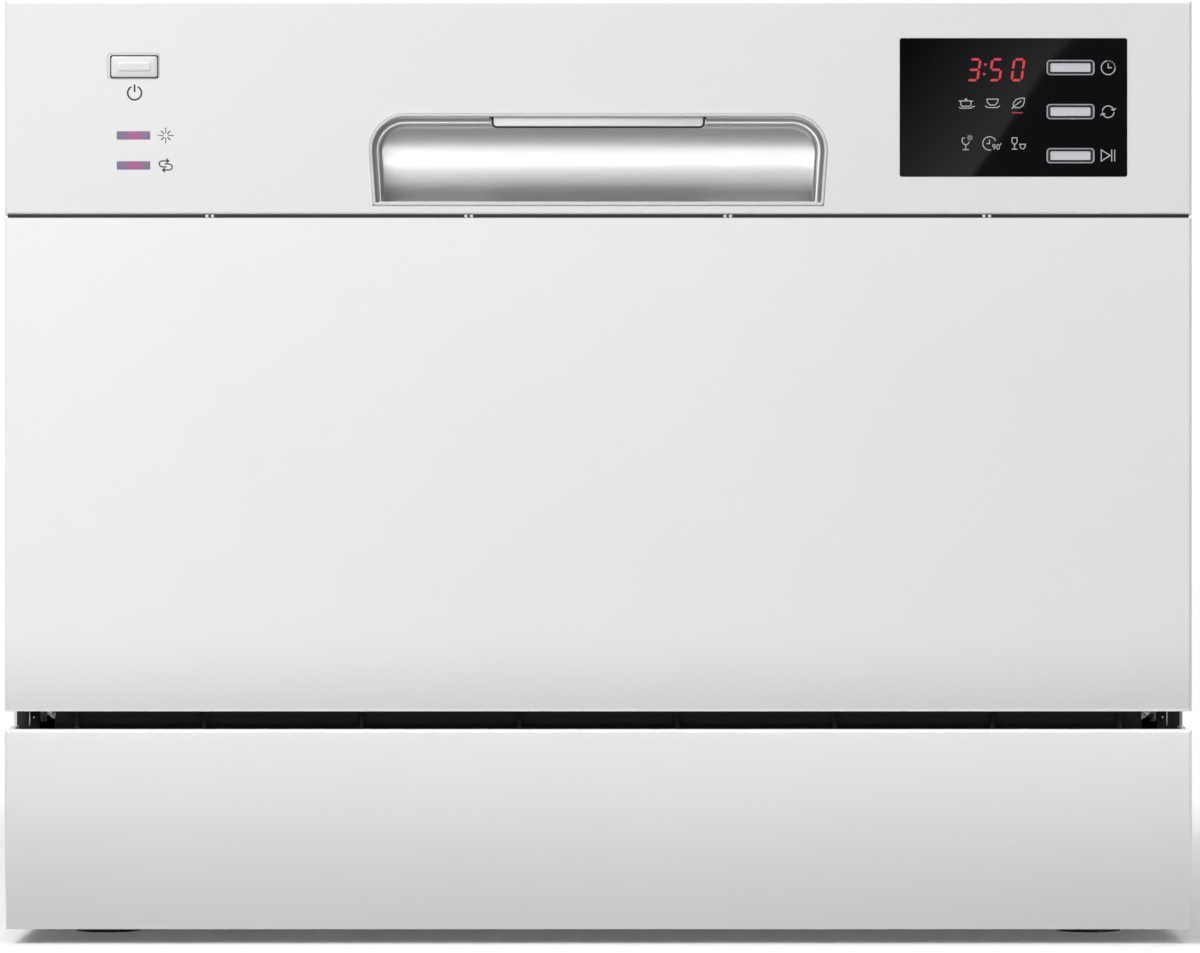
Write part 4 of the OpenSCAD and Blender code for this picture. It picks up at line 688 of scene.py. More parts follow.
# the handle cup: half its width, its edges, its corner, how far its sides lean, and the axis of its hollow
CUP_X, CUP_Z0, CUP_Z1, CUP_R, CUP_LEAN = 106.2, 343.1, 385.8, 16.8, 1.8
HOLLOW_Y, HOLLOW_Z, HOLLOW_R = -251.2, 365.9, 26.0
# the display's middle key, and the step to the next one
KEY_X, KEY_Z, KEY_PITCH = 218.75, 386.55, 20.4
# the power button's opening, and its cap, which sits a little off the opening's centre
POWER_X, POWER_Z = -215.3, 407.7
CAP_X, CAP_Z = -214.95, 407.4
# depths of the caps' backs and of the stems that reach the switches
CAP_BACK, STEM = -244.2, (-244.4, -242.2)
LAMPS_Z = (375.6, 361.7)
# the rack's two loops and their corner, its end rails, and the spacing of its uprights
RACK_X, RACK_Y0, RACK_Y1, RACK_Z, RACK_TOP, RACK_R = 222.0, -163.0, 192.0, 180.2, 282.2, 25.0
RAIL_Z, POST_PITCH, POST_MARGIN = RACK_Z + 53.04, 36, 6
# radii of its wires
TOP_WIRE, LOOP_WIRE, RAIL_WIRE, THIN_WIRE = 2.5, 2.0, 1.75, 1.5
# the wires across its floor, the rows of tines, the wheels and the folding shelf
CROSS_Z, CROSS_Y0, WIRE_PITCH, CROSSES = 183.95, -135.0, 34.0, 9
TINE_ROWS, TINE_TOP = (-165, -95, 25, 95), 241.2
WHEEL_X, WHEEL_Z, WHEEL_YS = 230.5, 165.6, (-118.0, 137.0)
SHELF_Z, SHELF_PIVOT_Z, SHELF_X, SHELF_Y = 255.2, 262.2, (-216.0, -125.0), (-125.0, 55.0)

# ---- rack of coated wire


def weld(shape, point, size):
    """The little swell of coating where two wires meet."""
    x, y, z = point
    turns = [2 * math.pi * j / 8 for j in range(8)]
    rings = []
    for k in range(1, 6):
        wide, high = size * math.sin(math.pi * k / 6), size * math.cos(math.pi * k / 6)
        rings.append([(x + wide * math.cos(b), y + wide * math.sin(b), z + high) for b in turns])
    shape.loft(rings)


def rack_loop(z):
    corners = [(-RACK_X, RACK_Y0, z), (RACK_X, RACK_Y0, z), (RACK_X, RACK_Y1, z), (-RACK_X, RACK_Y1, z)]
    return bent(corners, RACK_R, 8, closed=True)


def post_places(start, end):
    """Evenly spread places of the upright wires along one side of the rack."""
    count = int((end - start) / POST_PITCH)
    step = (end - start - 2 * POST_MARGIN) / count
    return [start + POST_MARGIN + i * step for i in range(count + 1)]


def upright(shape, x, y, rail_z, swell):
    """A wire from the lower loop to the upper one, welded to both and to a rail between them."""
    shape.tube([(x, y, RACK_Z - 0.5), (x, y, RACK_TOP + 0.5)], THIN_WIRE, 10, tip=False)
    for z, size in ((rail_z, swell), (RACK_TOP - 1.6, 2.1), (RACK_Z + 1.4, 2.0)):
        weld(shape, (x, y, z), size)


def build_rack():
    """The rack's round wires: loops, rails, uprights and wheel arms, then its floor and its tines."""
    rim = Shape()
    rim.tube(rack_loop(RACK_TOP), TOP_WIRE, 14, closed=True)
    rim.tube(rack_loop(RACK_Z), LOOP_WIRE, 12, closed=True)
    x1 = RACK_X - RACK_R
    for y in (RACK_Y0, RACK_Y1):
        rim.tube([(-x1, y, RAIL_Z), (x1, y, RAIL_Z)], THIN_WIRE, 10)
        for x in post_places(-x1, x1):
            upright(rim, x, y, RAIL_Z, 2.0)
    y0, y1 = RACK_Y0 + RACK_R, RACK_Y1 - RACK_R
    stubs = ((5, RACK_X, WHEEL_X - 4.3), (3, RACK_X, WHEEL_X + 5), (4.2, WHEEL_X + 4.3, WHEEL_X + 5.5))
    for side in (-1, 1):
        x = side * RACK_X
        rim.tube([(x, y0 + 3, SHELF_PIVOT_Z), (x, y1 - 3, SHELF_PIVOT_Z)], RAIL_WIRE, 12)
        for y in post_places(y0, y1):
            upright(rim, x, y, SHELF_PIVOT_Z, 2.1)
        for y in WHEEL_YS:
            arm = rounded(y - 6, y + 6, WHEEL_Z - 5, RACK_Z + 0.6, 2.2)
            rim.across(arm, *sorted((x - side * 2, x + side)))
            for radius, near, far in stubs:
                rim.pin(radius, *sorted((side * near, side * far)), (0, y, WHEEL_Z), "x", 24)
    rim.make("rack_frame", wire_coat, "rack", replaces=["rack_ends", "rack_sides"])

    deck = Shape()
    for i in range(CROSSES):
        y = CROSS_Y0 + i * WIRE_PITCH
        deck.tube([(-RACK_X + 1.4, y, CROSS_Z), (RACK_X - 1.4, y, CROSS_Z)], RAIL_WIRE, 12)
        for side in (-1, 1):
            weld(deck, (side * (RACK_X - 1.2), y, CROSS_Z - 1.2), 2.2)
    for x in (-RACK_X + RACK_R + 2, -35, 150):
        deck.tube([(x, RACK_Y0 + 1.6, RACK_Z + 0.3), (x, RACK_Y1 - 1.6, RACK_Z + 0.3)], LOOP_WIRE, 12)
        for i in range(CROSSES):
            weld(deck, (x, CROSS_Y0 + i * WIRE_PITCH, CROSS_Z - 1.8), 2.2)
    deck.make("rack_deck", wire_coat, "rack", replaces=["rack_floor"])

    tines = Shape()
    for x in TINE_ROWS:
        tines.tube([(x, RACK_Y0 + 1.6, RACK_Z), (x, RACK_Y1 - 1.6, RACK_Z)], LOOP_WIRE, 12)
        for i in range(CROSSES - 1):
            y = CROSS_Y0 + (i + 0.5) * WIRE_PITCH
            heights = [RACK_Z - 0.6] + [TINE_TOP - below for below in (6, 3, 1, 0)]
            tines.tube([(x, y, z) for z in heights], THIN_WIRE, 12)
            weld(tines, (x, y, RACK_Z + 1.6), 2.3)
        for i in range(CROSSES):
            weld(tines, (x, CROSS_Y0 + i * WIRE_PITCH, CROSS_Z - 1.8), 2.2)
    tines.make("tine_rows", wire_coat, "rack", replaces=["plate_tines"])


def build_shelf():
    """Fold-up shelf: one bent border wire, rungs and two moulded clips that snap over the side rail."""
    x0, x1 = SHELF_X
    y0, y1 = SHELF_Y
    shape = Shape()
    border = [(x0, y0, SHELF_Z), (x1, y0, SHELF_Z), (x1, y1, SHELF_Z), (x0, y1, SHELF_Z)]
    shape.tube(bent(border, 6, closed=True), THIN_WIRE, 12, closed=True)
    for i in range(1, 6):
        y = y0 + 2 + i * (y1 - y0 - 4) / 6
        shape.tube([(x0, y, SHELF_Z), (x1, y, SHELF_Z)], THIN_WIRE, 12)
        for x in (x0, x1):
            weld(shape, (x, y, SHELF_Z), 2.1)
    shape.make("folding_shelf", wire_coat, "cup_shelf", replaces=["cup_shelf"])
    clips = Shape()
    hook = ring_path(-RACK_X, SHELF_PIVOT_Z, 3.6, -30, 210, 24)
    hook += [(-RACK_X - 1, SHELF_Z - 1.0), (-RACK_X, SHELF_Z - 1.5), (x0 + 1.5, SHELF_Z - 1.5),
             (x0 + 2.0, SHELF_Z - 1.0), (x0 + 2.0, SHELF_Z + 1.0)]
    posts = post_places(RACK_Y0 + RACK_R, RACK_Y1 - RACK_R)
    for k in (1, 4):
        y = (posts[k] + posts[k + 1]) / 2
        clips.stack([(hook, 0.4, y - 5), (hook, 0, y - 4.6), (hook, 0, y + 4.6), (hook, 0.4, y + 5)])
    clips.make("shelf_clips", white_plastic, "cup_shelf")


build_rack()
build_shelf()

# ---- handle cup and lever


def cup_ring(sides, top, base, y, corner):
    """One ring of the cup, inset by different amounts, with points all the way up its sides."""
    steps = 10
    turn = steps + 1
    r, low = max(CUP_R - corner, 0.4), max(1.3 - corner * 0.35, 0.25)
    outline = rounded(-CUP_X + sides, CUP_X - sides, CUP_Z0 + base, CUP_Z1 - top, r, steps, low)
    bottom, head, rest = outline[:turn], outline[turn:3 * turn], outline[3 * turn:]
    z0, z1 = bottom[-1][1], head[0][1]
    climb = [z0 + (z1 - z0) * k / 12 for k in range(1, 12)]
    right = [(bottom[-1][0], z) for z in climb]
    left = [(rest[0][0], z) for z in reversed(climb)]
    return [(lean(x, z), y(x, z) if callable(y) else y, z) for x, z in bottom + right + head + left + rest]


def lean(x, z):
    """The cup's sides lean inwards below its round corners."""
    knee = CUP_Z1 - CUP_R
    return x - math.copysign(CUP_LEAN * max(0.0, knee - z) / (knee - CUP_Z0), x)


def hollow(radius, fillet, e):
    """Depth of the round hollow, blended into the side walls by a fillet that is small below."""
    def depth(x, z):
        base = max(0.0, min(1.0, (z - CUP_Z0 - 2) / 8))
        r = 0.6 + (fillet - 0.6) * base
        rise = HOLLOW_Y + math.sqrt(max(radius ** 2 - (z - HOLLOW_Z) ** 2, 0))
        t = min(e / r, 1.0)
        return rise - r * (1 - math.sqrt(max(1 - (1 - t) ** 2, 0)))
    return depth


def build_cup():
    """The handle cup: rim, fillet and hollow, a second skin behind, a slot for the lever and two ears."""
    rim = ((0, -246.7), (0, -249.3), (0.12, -249.7), (0.4, -249.93), (0.75, -250), (1.05, -249.97),
           (1.3, -249.8), (1.45, -249.5))
    rings = [cup_ring(d, d, d, y, d) for d, y in rim]
    for t in (0.15, 0.35, 0.55, 0.75, 0.9, 1.0):
        a = t * math.pi / 2
        s = 1.45 + 2.5 * (1 - math.cos(a))
        rings.append(cup_ring(s, s + 0.45 * t, 1.45 + 0.2 * t, -249.5 + 3.4 * math.sin(a), s))
    rings.append(cup_ring(4.05, 4.5, 1.75, -245.6, 4.05))
    rings.append(cup_ring(4.2, 4.65, 1.8, -245.0, 4.2))
    for e in (0, 0.2, 0.5, 0.9, 1.5, 2.4, 3.6, 4.8, 6, 7.5, 9, 10.5, 12, 13.5, 15, 16.5, 17.6):
        rings.append(cup_ring(4.2 + e, 4.65 + e, 1.8 + e, hollow(HOLLOW_R, 1.4, e), 4.2 + e))
    shell = [cup_ring(d, d, d, -246.7, d) for d in (1.0, 1.9)]
    for e in (0, 0.5, 1.5, 3, 5, 7.5, 10, 12.5, 15, 17.5):
        shell.append(cup_ring(2.1 + e, 2.1 + e, 0.3 + e, hollow(HOLLOW_R + 2, 5, e), 2.1 + e))
    cup = Shape()
    cup.loft(list(reversed(shell)) + rings)
    obj = cup.make("cup_shell", cup_metal, "door", replaces=["handle_cup"])
    lever_slot = [(-50.3, 377.5), (50.3, 377.5), (50.3, 384.25), (-50.3, 384.25)]
    cutter = Shape()
    cutter.stack([(lever_slot, 0, -249.2), (lever_slot, 0, -239.2)])
    cut(obj, cutter)
    # the rim's front is white lacquer, whose white also stands in for the rim's bright highlight, a partly
    # painted highlight; the rest is metal
    two_tone(obj, rim_white_highlight, lambda p: p.center.y < -249.45 * MM and abs(p.normal.y) > 0.2)
    ears = Shape()
    for side in (-1, 1):
        ears.across(rounded(-240.4, -231.6, 385.0, 398.0, 2.5), *sorted((side * 51.5, side * 54.0)))
    ears.make("cup_ears", cup_metal, "door")


def two_tone(obj, second, chosen):
    """Gives some faces of a piece a second finish."""
    obj.data.materials.append(second)
    for face in obj.data.polygons:
        if chosen(face):
            face.material_index = 1


def cut(obj, shape):
    """Takes a closed shape out of a closed piece, for good."""
    tool = piece("cutter", shape.verts, shape.faces, cup_metal, "door", smooth=False)
    mod = obj.modifiers.new("cut", "BOOLEAN")
    mod.operation = "DIFFERENCE"
    mod.solver = "EXACT"
    mod.object = tool
    bpy.context.view_layer.update()
    settled = bpy.data.meshes.new_from_object(obj.evaluated_get(bpy.context.evaluated_depsgraph_get()))
    obj.modifiers.clear()
    obj.data = settled
    bpy.data.objects.remove(tool)
    settled.shade_smooth()
    settled.set_sharp_from_angle(angle=math.radians(38))


def build_lever():
    """The latch lever's plate with its upper web, on a tube round a thinner pin."""
    lever = Shape()
    outline = rounded(-49.5, 49.5, 379.3, 392.5, 1.4, 6, 2.4)
    edge = ((1.15, -243.5), (0.9, -243.47), (0.75, -243.35), (0.7, -243.0), (0.12, -242.6), (0, -242.3),
            (0, -240.5))
    lever.stack([(outline, d, y) for d, y in edge])
    lever.across(rounded(-241.5, -235.5, 389.9, 392.5, 0.4, 3), -49.4, 49.4)
    axle = (0, -236, 393.5)
    for radius, reach, nose, slope, sides in ((3, 50.9, 2.6, 0.4, 32), (2, 54, 1.7, 0.3, 24)):
        half = [(CORE, reach), (nose, reach), (radius, reach - slope)]
        lever.turned([(r, -x) for r, x in half] + half[::-1], axle, "x", sides)
    obj = lever.make("lever_plate", lever_shaded_metal, "latch_lever", replaces=["latch_lever"])
    # painted shade: a dark line round the plate's edge stands in for the shade along that edge
    two_tone(obj, lever_edge_shade, lambda p: -243.2 * MM < p.center.y < -242.2 * MM)


build_cup()
build_lever()

# ---- toe trough


def sector(r0, r1, a0, a1, steps):
    """A ring's stretch in (y, z) about the door's pivot, between two angles."""
    outer = [a0 + (a1 - a0) * k / steps for k in range(steps + 1)]
    return [(PIVOT[0] + r * math.cos(math.radians(a)), PIVOT[1] + r * math.sin(math.radians(a)))
            for r, angles in ((r1, outer), (r0, outer[::-1])) for a in angles]


def build_trough():
    """The black trough behind the lower gap, with the ribs that the door's edge passes."""
    trough = Shape()
    skin = sector(TROUGH_R, TROUGH_R + 1.5, *TROUGH_ARC, 28)
    back = [(TROUGH_BACK - 1.9, 40.2), (TROUGH_BACK, 40.2), (TROUGH_BACK, 142.2), (TROUGH_BACK - 1.9, 142.2)]
    for sheet in (skin, back):
        trough.across(sheet, -TROUGH_X, TROUGH_X)
    trough.make("toe_trough", black_plastic, "cabinet", replaces=["toe_guard"])
    ribs = Shape()
    start, end = TROUGH_ARC[0] + 2, TROUGH_ARC[1] - 10
    line = sector(SCOOP_R + 0.1, TROUGH_R + 0.4, start, end, 28)
    slim = sector(SCOOP_R + 0.5, TROUGH_R + 0.4, start, end, 28)
    profile = ((-1.0, slim), (-0.6, line), (0.6, line), (1.0, slim))
    for x in [side * (k + 0.5) * RIB_PITCH for side in (-1, 1) for k in range(3)] + [-244.0, 244.0]:
        ribs.loft([[(x + u, y, z) for y, z in p] for u, p in profile])
    ribs.make("toe_ribs", lit_rib_plastic, "cabinet")


build_trough()

# ---- keys of the display and power button


def frame_ring(shape, outer, inner, root, shoulder, rim, slope):
    """A narrow frame between two outlines, its front edges sloping off."""
    shape.stack([(outer, 0, root), (outer, 0, shoulder), (outer, slope, rim),
                 (inner, -slope, rim), (inner, 0, shoulder), (inner, 0, root)], closed=True)


def build_keys():
    """Three satin keys, each in a bright frame with a dark seam inside."""
    frames, wells = Shape(), Shape()
    keys = (("start_cap", "start_button"), ("program_cap", "program_button"), ("delay_cap", "delay_button"))
    edge = ((0.42, -249.8), (0.3, -249.96), (0.12, -249.9), (0, -249.7), (0, CAP_BACK))
    for k, (name, body) in enumerate(keys):
        z = KEY_Z + (k - 1) * KEY_PITCH
        cap = Shape()
        outline = centred(KEY_X, z, 9.3, 2.05, 0.6, 4)
        cap.stack([(outline, d, y) for d, y in edge])
        cap.pin(1.6, *STEM, (KEY_X, 0, z), "y", 20)
        cap.make(name, key_plastic, body, replaces=[body])
        outer, inner = centred(KEY_X, z, 11.1, 3.55, 1.7), centred(KEY_X, z, 10.4, 2.95, 1.1)
        frame_ring(frames, outer, inner, LENS_FRONT, -249.75, -249.92, 0.18)
        plate, gap = centred(KEY_X, z, 10.9, 3.3, 3.25), centred(KEY_X, z, 9.55, 2.3, 0.8)
        wells.stack([(plate, 0, -248.0), (plate, 0, -249.38),
                     (gap, 0, -249.38), (gap, 0, -248.0)], closed=True)
    frames.make("key_frames", ring_plastic, "door", replaces=["button_rings"])
    wells.make("key_wells", well_plastic, "door")


def build_power():
    """Power button: a plain white cap with a raised pad on sloping sides, in a narrow white frame."""
    cap, frame_shape = Shape(), Shape()
    outline, pad = centred(CAP_X, CAP_Z, 10.65, 4.85, 1.0, 5), centred(CAP_X, CAP_Z, 7.8, 2.3, 1.5, 5)
    cap.stack([(outline, 0, CAP_BACK), (outline, 0, -249.1), (outline, 0.15, -249.4), (outline, 0.45, -249.55),
               (pad, -0.3, -249.56), (pad, 0, -249.6), (pad, 0.4, -249.82), (pad, 0.7, -249.95),
               (pad, 0.95, -250.0), (pad, 1.15, -250.0)])
    cap.pin(2.4, *STEM, (POWER_X, 0, POWER_Z), "y", 24)
    cap.make("power_cap", white_plastic, "power_button", replaces=["power_button"])
    outer, inner = centred(POWER_X, POWER_Z, 11.88, 5.93, 1.35, 5), centred(CAP_X, CAP_Z, 11.2, 5.4, 1.1, 5)
    frame_ring(frame_shape, outer, inner, -246.4, -249.05, -249.17, 0.12)
    frame_shape.make("power_frame", white_plastic, "door")


build_keys()
build_power()

# ---- printed and lit signs


def ribbon(shape, path, width, y0, y1, closed=False):
    """A flat line of ink or light along an (x, z) path."""
    pts = [Vector(p) for p in path]
    n = len(pts)
    left, right = [], []
    for i, p in enumerate(pts):
        a = (p - pts[i - 1]).normalized() if closed or i else (pts[1] - p).normalized()
        b = (pts[(i + 1) % n] - p).normalized() if closed or i < n - 1 else a
        na, nb = Vector((-a.y, a.x)), Vector((-b.y, b.x))
        mid = (na + nb).normalized()
        reach = width / 2 / max(mid.dot(na), 0.5)
        left.append(p + mid * reach)
        right.append(p - mid * reach)
    rings = [[(a.x, y0, a.y), (a.x, y1, a.y), (b.x, y1, b.y), (b.x, y0, b.y)] for a, b in zip(left, right)]
    shape.loft(rings, closed=closed)


class Sign(Shape):
    """Strokes about a centre, on one plane that they stand out of and reach a little into."""

    def __init__(self, plane, width):
        super().__init__()
        self.width = width
        self.depths = (plane - 0.04, plane + 0.02)
        self.centre = (0, 0)

    def at(self, x, z, width=None):
        """Moves the centre, and sets the width of the next strokes if one is given."""
        self.centre = (x, z)
        self.width = width or self.width

    def moved(self, path):
        return [(self.centre[0] + x, self.centre[1] + z) for x, z in path]

    def line(self, path, closed=False):
        ribbon(self, self.moved(path), self.width, *self.depths, closed)

    def round(self, x, z, r, start=0, end=360):
        self.line(ring_path(x, z, r, start, end), abs(end - start) >= 360)

    def fill(self, outline):
        self.loft([[(x, y, z) for x, z in self.moved(outline)] for y in self.depths])

    def dot(self, x, z, r, steps=8):
        self.fill(ring_path(x, z, r, steps=steps))


def glow(name, colour, strength, base):
    """Light behind a smoked window, a little uneven."""
    mat = shader(name, base, 0.3, Emission_Strength=strength)
    uneven = noise(mat, place(mat), 700, 2)
    dim = tuple(c * 0.86 for c in colour)
    feed(mat, ramp(mat, uneven, [(0.3, dim), (0.7, colour)]), "Emission Color")
    return mat


def ink(name, colour):
    """Screen-printed ink: matt, with a slightly ragged density."""
    mat = shader(name, colour, 0.55)
    tint(mat, noise(mat, place(mat), 2600, 3), colour, tuple(c * 1.5 + 0.01 for c in colour))
    return mat


red_light = glow("display_light", (1.0, 0.025, 0.065), 0.62, (0.06, 0.005, 0.008))
dim_light = glow("bar_light", (1.0, 0.03, 0.09), 0.3, (0.04, 0.004, 0.006))
icon_light = glow("icon_print", (0.96, 0.97, 1.0), 0.36, (0.12, 0.12, 0.12))
dark_ink = ink("printed_ink", (0.02, 0.02, 0.022))

SEGMENTS = {"3": "abgcd", "5": "afgcd", "0": "abcdef"}


def digit(sign, name):
    """One slanted seven-segment digit, 2w by 2h, with bars 2k wide and gaps of g at their ends."""
    tan = math.tan(math.radians(8))
    w, h, g, k = 2.3, 4.8, 0.28, 0.56
    ends = {
        "a": ((-w, h), (w, h)), "g": ((-w, 0), (w, 0)), "d": ((-w, -h), (w, -h)), "f": ((-w, 0), (-w, h)),
        "b": ((w, 0), (w, h)), "e": ((-w, -h), (-w, 0)), "c": ((w, -h), (w, 0)),
    }
    for bar in SEGMENTS[name]:
        (x0, z0), (x1, z1) = ends[bar]
        if z0 == z1:
            shape = [(x0 + g, z0), (x0 + g + k, z0 + k), (x1 - g - k, z0 + k), (x1 - g, z0),
                     (x1 - g - k, z0 - k), (x0 + g + k, z0 - k)]
        else:
            shape = [(x0, z0 + g), (x0 + k, z0 + g + k), (x0 + k, z1 - g - k), (x0, z1 - g),
                     (x0 - k, z1 - g - k), (x0 - k, z0 + g + k)]
        sign.fill([(x + z * tan, z) for x, z in shape])


def build_display():
    """The lit time and bar, and the icons of the programmes and the keys."""
    time_z, upper_z, lower_z = 406.0, 390.6, 371.9
    red = Sign(LENS_FRONT, 1)
    for x, name in ((174.0, "3"), (184.2, "5"), (194.4, "0")):
        red.at(x, time_z)
        digit(red, name)
    red.at(179.0, time_z)
    for dz in (-2.0, 2.4):
        red.dot(dz * 0.14, dz, 0.62, 12)
    red.make("display_digits", red_light, "door", smooth=False)
    bar = Sign(LENS_FRONT, 1)
    bar.at(194.1, 386.1)
    bar.fill([(-2.5, -0.3), (2.5, -0.3), (2.7, 0), (2.5, 0.3), (-2.5, 0.3), (-2.7, 0)])
    bar.make("display_bar", dim_light, "door", smooth=False)

    art = Sign(LENS_FRONT, 0.4)
    # pot on a plate
    art.at(170.3, upper_z)
    art.line([(-2.3, 1.0), (-2.3, -1.0), (-1.8, -1.5), (1.8, -1.5), (2.3, -1.0), (2.3, 1.0)], closed=True)
    art.line([(-2.3, 0.6), (-3.3, 1.0)])
    art.line([(2.3, 0.6), (3.3, 1.0)])
    art.line([(-0.4, 1.2), (-0.3, 1.9), (0.3, 1.9), (0.4, 1.2)])
    art.line([(-3.2, -2.0), (-2.4, -2.4), (2.2, -2.4), (3.4, -1.6), (4.2, -1.6)])
    # bowl on a saucer
    art.at(182.6, upper_z)
    art.line([(-2.6, 1.8), (-2.3, 0.2), (-1.2, -0.9), (1.2, -0.9), (2.3, 0.2), (2.6, 1.8)], closed=True)
    art.line([(-3.4, -1.2), (-2.4, -2.1), (2.4, -2.1), (3.4, -1.2)])
    # leaf
    art.at(194.8, upper_z)
    art.line([(-2.6, -1.9), (-2.5, 0.1), (-1.2, 1.7), (0.8, 2.2), (2.6, 2.3),
              (2.5, 0.4), (1.9, -1.2), (0.3, -2.2), (-1.6, -2.1)], closed=True)
    art.line([(-3.3, -2.7), (-1.4, -0.9), (1.2, 1.0)])
    # glass with a sparkle
    art.at(170.2, lower_z)
    art.line([(-0.4, 2.5), (-1.5, 2.5), (-1.7, 1.0), (-1.1, -0.2), (0, -0.7), (1.1, -0.2), (1.7, 0.8)])
    art.line([(0, -0.7), (0, -2.7)])
    art.line([(-1.5, -2.9), (1.5, -2.9)])
    art.at(172.1, lower_z + 2.6, 0.26)
    for a in range(0, 180, 45):
        u, v = math.cos(math.radians(a)), math.sin(math.radians(a))
        for s in (-1, 1):
            art.line([(s * u * r, s * v * r) for r in (0.45, 1.35)])
    # clock and 90
    art.at(181.2, lower_z, 0.4)
    art.round(0, 0, 3.1, 25, 285)
    art.line([(0, 1.7), (0, -0.1), (-1.3, -0.1)])
    art.width = 0.34
    art.round(2.1, -1.1, 0.62)
    art.line([(2.72, -1.1), (2.5, -2.3), (1.8, -2.7)])
    art.line([(3.5, -0.9), (3.5, -2.3), (3.8, -2.7), (4.3, -2.7),
              (4.6, -2.3), (4.6, -0.9), (4.3, -0.5), (3.8, -0.5)], closed=True)
    art.line([(5.4, 0.1), (5.2, -0.8)])
    # wine glass and tumbler
    art.at(194.3, lower_z, 0.4)
    art.line([(-2.6, 2.6), (-2.7, 0.6), (-2.0, -0.3), (-1.0, -0.3), (-0.3, 0.6), (-0.4, 2.6)], closed=True)
    art.line([(-1.5, -0.3), (-1.5, -2.5)])
    art.line([(-2.8, -2.7), (-0.2, -2.7)])
    art.line([(0.9, -0.4), (1.3, -2.0), (1.9, -2.5), (2.6, -2.5), (3.2, -2.0), (3.6, -0.4)], closed=True)
    # delayed start
    art.at(236.2, 406.95, 0.46)
    art.round(0, 0, 3.2, 95, 360)
    art.line([(0, 2.0), (0, 0), (1.7, 0)])
    for a in (10, 32, 54, 76):
        art.dot(3.2 * math.cos(math.radians(a)), 3.2 * math.sin(math.radians(a)), 0.3)
    # round of programmes
    art.at(236.2, 386.55)
    for s in (1, -1):
        art.line([(s * x, s * z) for x, z in ring_path(0, 0, 2.7, 20, 175)])
        art.line([(s * 1.4, s * 1.2), (s * 2.6, s * 0.6), (s * 3.5, s * 1.7)])
    # start and pause
    art.at(236.2, 366.3)
    art.line([(-3.2, 2.6), (-3.2, -2.6), (0.9, 0)], closed=True)
    for x in (1.6, 3.0):
        art.line([(x, 2.7), (x, -2.7)])
    art.make("display_icons", icon_light, "door", smooth=False)


def build_prints():
    """The printed signs by the power button and the lamps."""
    art = Sign(FACE, 0.78)
    art.at(-214.8, 395.3)
    art.round(0, 0, 3.2, 118, 422)
    art.line([(0, 3.9), (0, 0.4)])
    # sparkle of the rinse aid
    art.at(-200.4, LAMPS_Z[0], 0.52)
    for k in range(8):
        u, v = math.cos(math.pi * k / 4), math.sin(math.pi * k / 4)
        if k % 2:
            art.line([(u * 1.1, v * 1.1), (u * 3.1, v * 3.1)])
        else:
            for r in (1.5, 2.4, 3.3):
                art.dot(r * u, r * v, 0.36)
    # two hooked arrows of the salt
    art.at(-200.4, LAMPS_Z[1], 0.6)
    shaft = [(0.9, 2.1), (-1.5, 2.1), (-2.4, 1.85), (-2.95, 1.3), (-3.05, 0.6), (-2.75, -0.1), (-2.1, -0.55),
             (-1.2, -0.7), (0.5, -0.7)]
    for s in (-1, 1):
        for path in (shaft, [(0.3, 3.1), (1.4, 2.1), (0.3, 1.3)]):
            art.line([(s * x, s * z) for x, z in path])
    art.make("printed_signs", dark_ink, "door", smooth=False)


def build_seam():
    """Pairs of small tabs in the seam under the console, and the dark strip behind them, which is painted
    shade that keeps the seam black.
    """
    tabs, shade_strip = Shape(), Shape()
    for x in (-180, -60, 60, 180):
        for dx in (-1.3, 1.3):
            tabs.slab(rounded(x + dx - 0.7, x + dx + 0.7, 337.6, 338.9, 0.2, 2), FACE + 0.35, FACE + 2.2, 0.15)
    tabs.make("seam_tabs", white_plastic, "door")
    # painted shade: a dark strip just behind the seam's front, so that the seam reads black
    shade_strip.slab(rounded(-273.6, 273.6, 337.5, 339.1, 0.3, 2), FACE + 0.55, FACE + 1.9, 0.1)
    shade_strip.make("seam_gasket", shade_black, "door")


def build_shade_pads():
    """Dark rubber pads on the casing's lower corners at the ends of the toe gap, each with a folded steel clip
    and its rivet; the pads are painted shade that darkens the gap's ends.
    """
    pads, clips = Shape(), Shape()
    for side in (-1, 1):
        def block(near, far, z0, z1, corner, steps):
            return rounded(*sorted((side * near, side * far)), z0, z1, corner, steps)

        # painted shade: dark pads that fill the toe gap's ends
        pads.slab(block(262.9, 273.6, 93, 115, 0.8, 3), -196.3, -195.1, 0.3)
        clips.slab(block(267.1, 267.9, 100.2, 108.6, 0.25, 2), -196.9, -196.2, 0.15)
        clips.slab(block(264.9, 267.0, 107.8, 108.6, 0.25, 2), -196.9, -196.2, 0.15)
        clips.slab(block(264.8, 266.0, 103.7, 104.9, 0.55, 4), -197.0, -196.2, 0.2)
    pads.make("corner_pads", shade_black, "cabinet")
    clips.make("pad_clips", bright_steel, "cabinet")


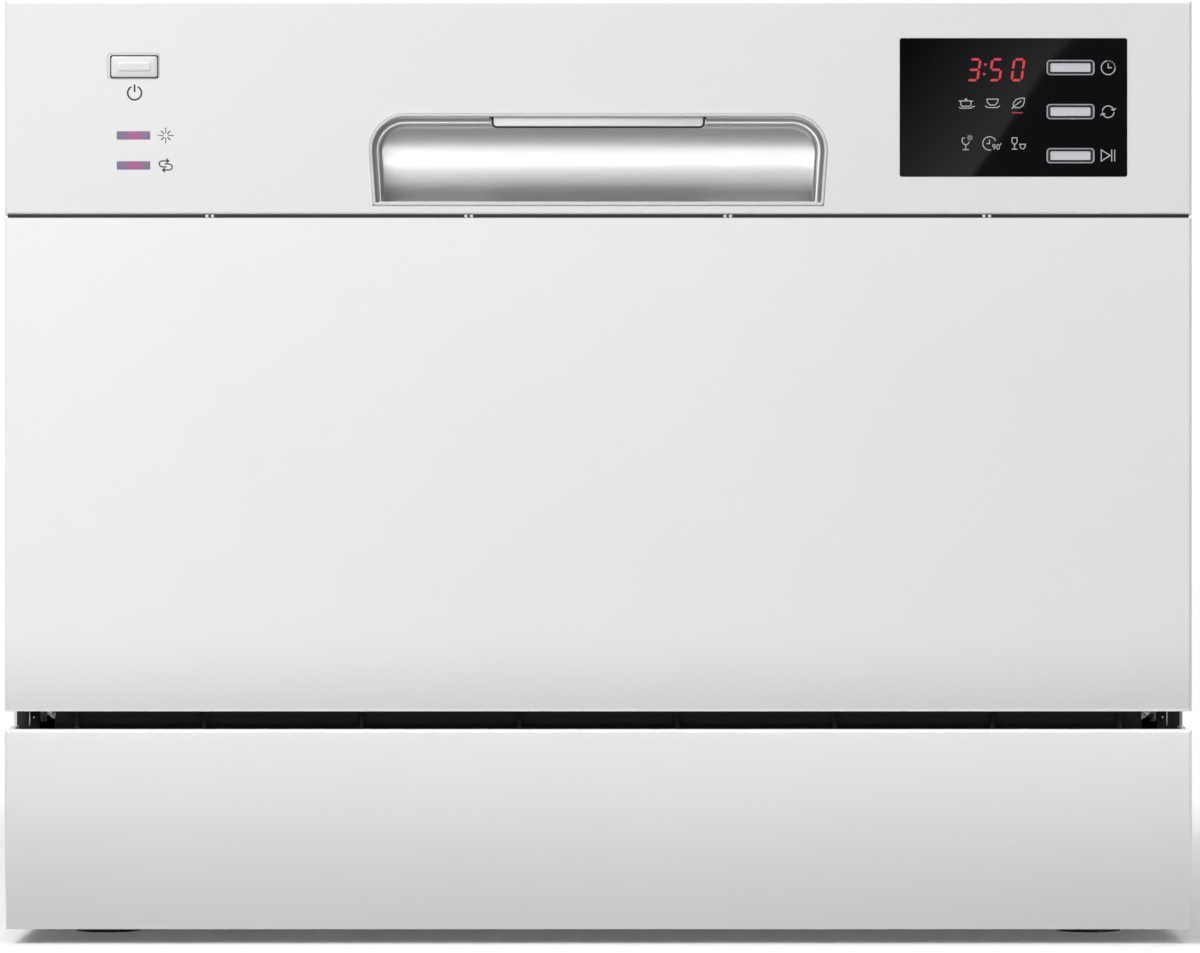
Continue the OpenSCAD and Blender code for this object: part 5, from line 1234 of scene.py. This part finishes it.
def display_card():
    """A slanted card behind the camera, brightest along one edge, for the sheen across the display."""
    lower, upper = Vector((0.3478, 0.4954)), Vector((0.4324, 0.6230))
    along = (upper - lower).normalized()
    aside = Vector((-along.y, along.x))
    y, width, overhang, steps = -3.62, 0.13, 0.12, 12
    verts, shine = [], []
    for i in range(steps + 1):
        for end, most in ((lower - along * overhang, 1.0), (upper + along * overhang, 0.35)):
            p = end + aside * width * i / steps
            verts.append((p.x, y, p.y))
            shine.append((1 - i / steps) ** 1.4 * most)
    mesh = bpy.data.meshes.new("display_card")
    mesh.from_pydata(verts, [], [[2 * i, 2 * i + 1, 2 * i + 3, 2 * i + 2] for i in range(steps)])
    fade = mesh.attributes.new("fade", "FLOAT", "POINT")
    fade.data.foreach_set("value", shine)
    mat = bpy.data.materials.new("card_light")
    mat.use_nodes = True
    mat.node_tree.nodes.clear()
    value = node(mat, "ShaderNodeAttribute", attribute_name="fade")
    glare = node(mat, "ShaderNodeEmission")
    link(mat, spread(mat, value.outputs["Fac"], 0.0, 3.2), glare.inputs["Strength"])
    out = node(mat, "ShaderNodeOutputMaterial")
    link(mat, glare.outputs[0], out.inputs["Surface"])
    mesh.materials.append(mat)
    obj = put("display_card", mesh)
    obj.visible_camera = False
    obj.visible_diffuse = False
    obj.visible_shadow = False
    return obj


build_display()
build_prints()
build_seam()
build_shade_pads()

# ---- which lamp reaches what

card = display_card()
only_lights(strip, "cup_shell", "lever_plate")
only_lights(cup_fill, "cup_shell")
only_lights(kick_key, "kick_panel")
only_lights(kick_top, "kick_panel")
only_lights(card, "display_lens")
only_lights(door_key, "door_panel")
spare(key, "door_panel", "kick_panel", "cup_shell")
spare(front, "display_lens", "kick_panel")
spare(left, "cup_shell", "door_panel", "control_console", "kick_panel")
spare(right, "cup_shell")
only_lights(low, "toe_trough")
only_lights(floor_low, "floor")
only_lights(under, "control_console", "door_panel", "kick_panel")
passed = ("floor", "kick_panel", "door_panel", "base_tray")
under.light_linking.blocker_collection = leave_out("under_free", passed)
flag()
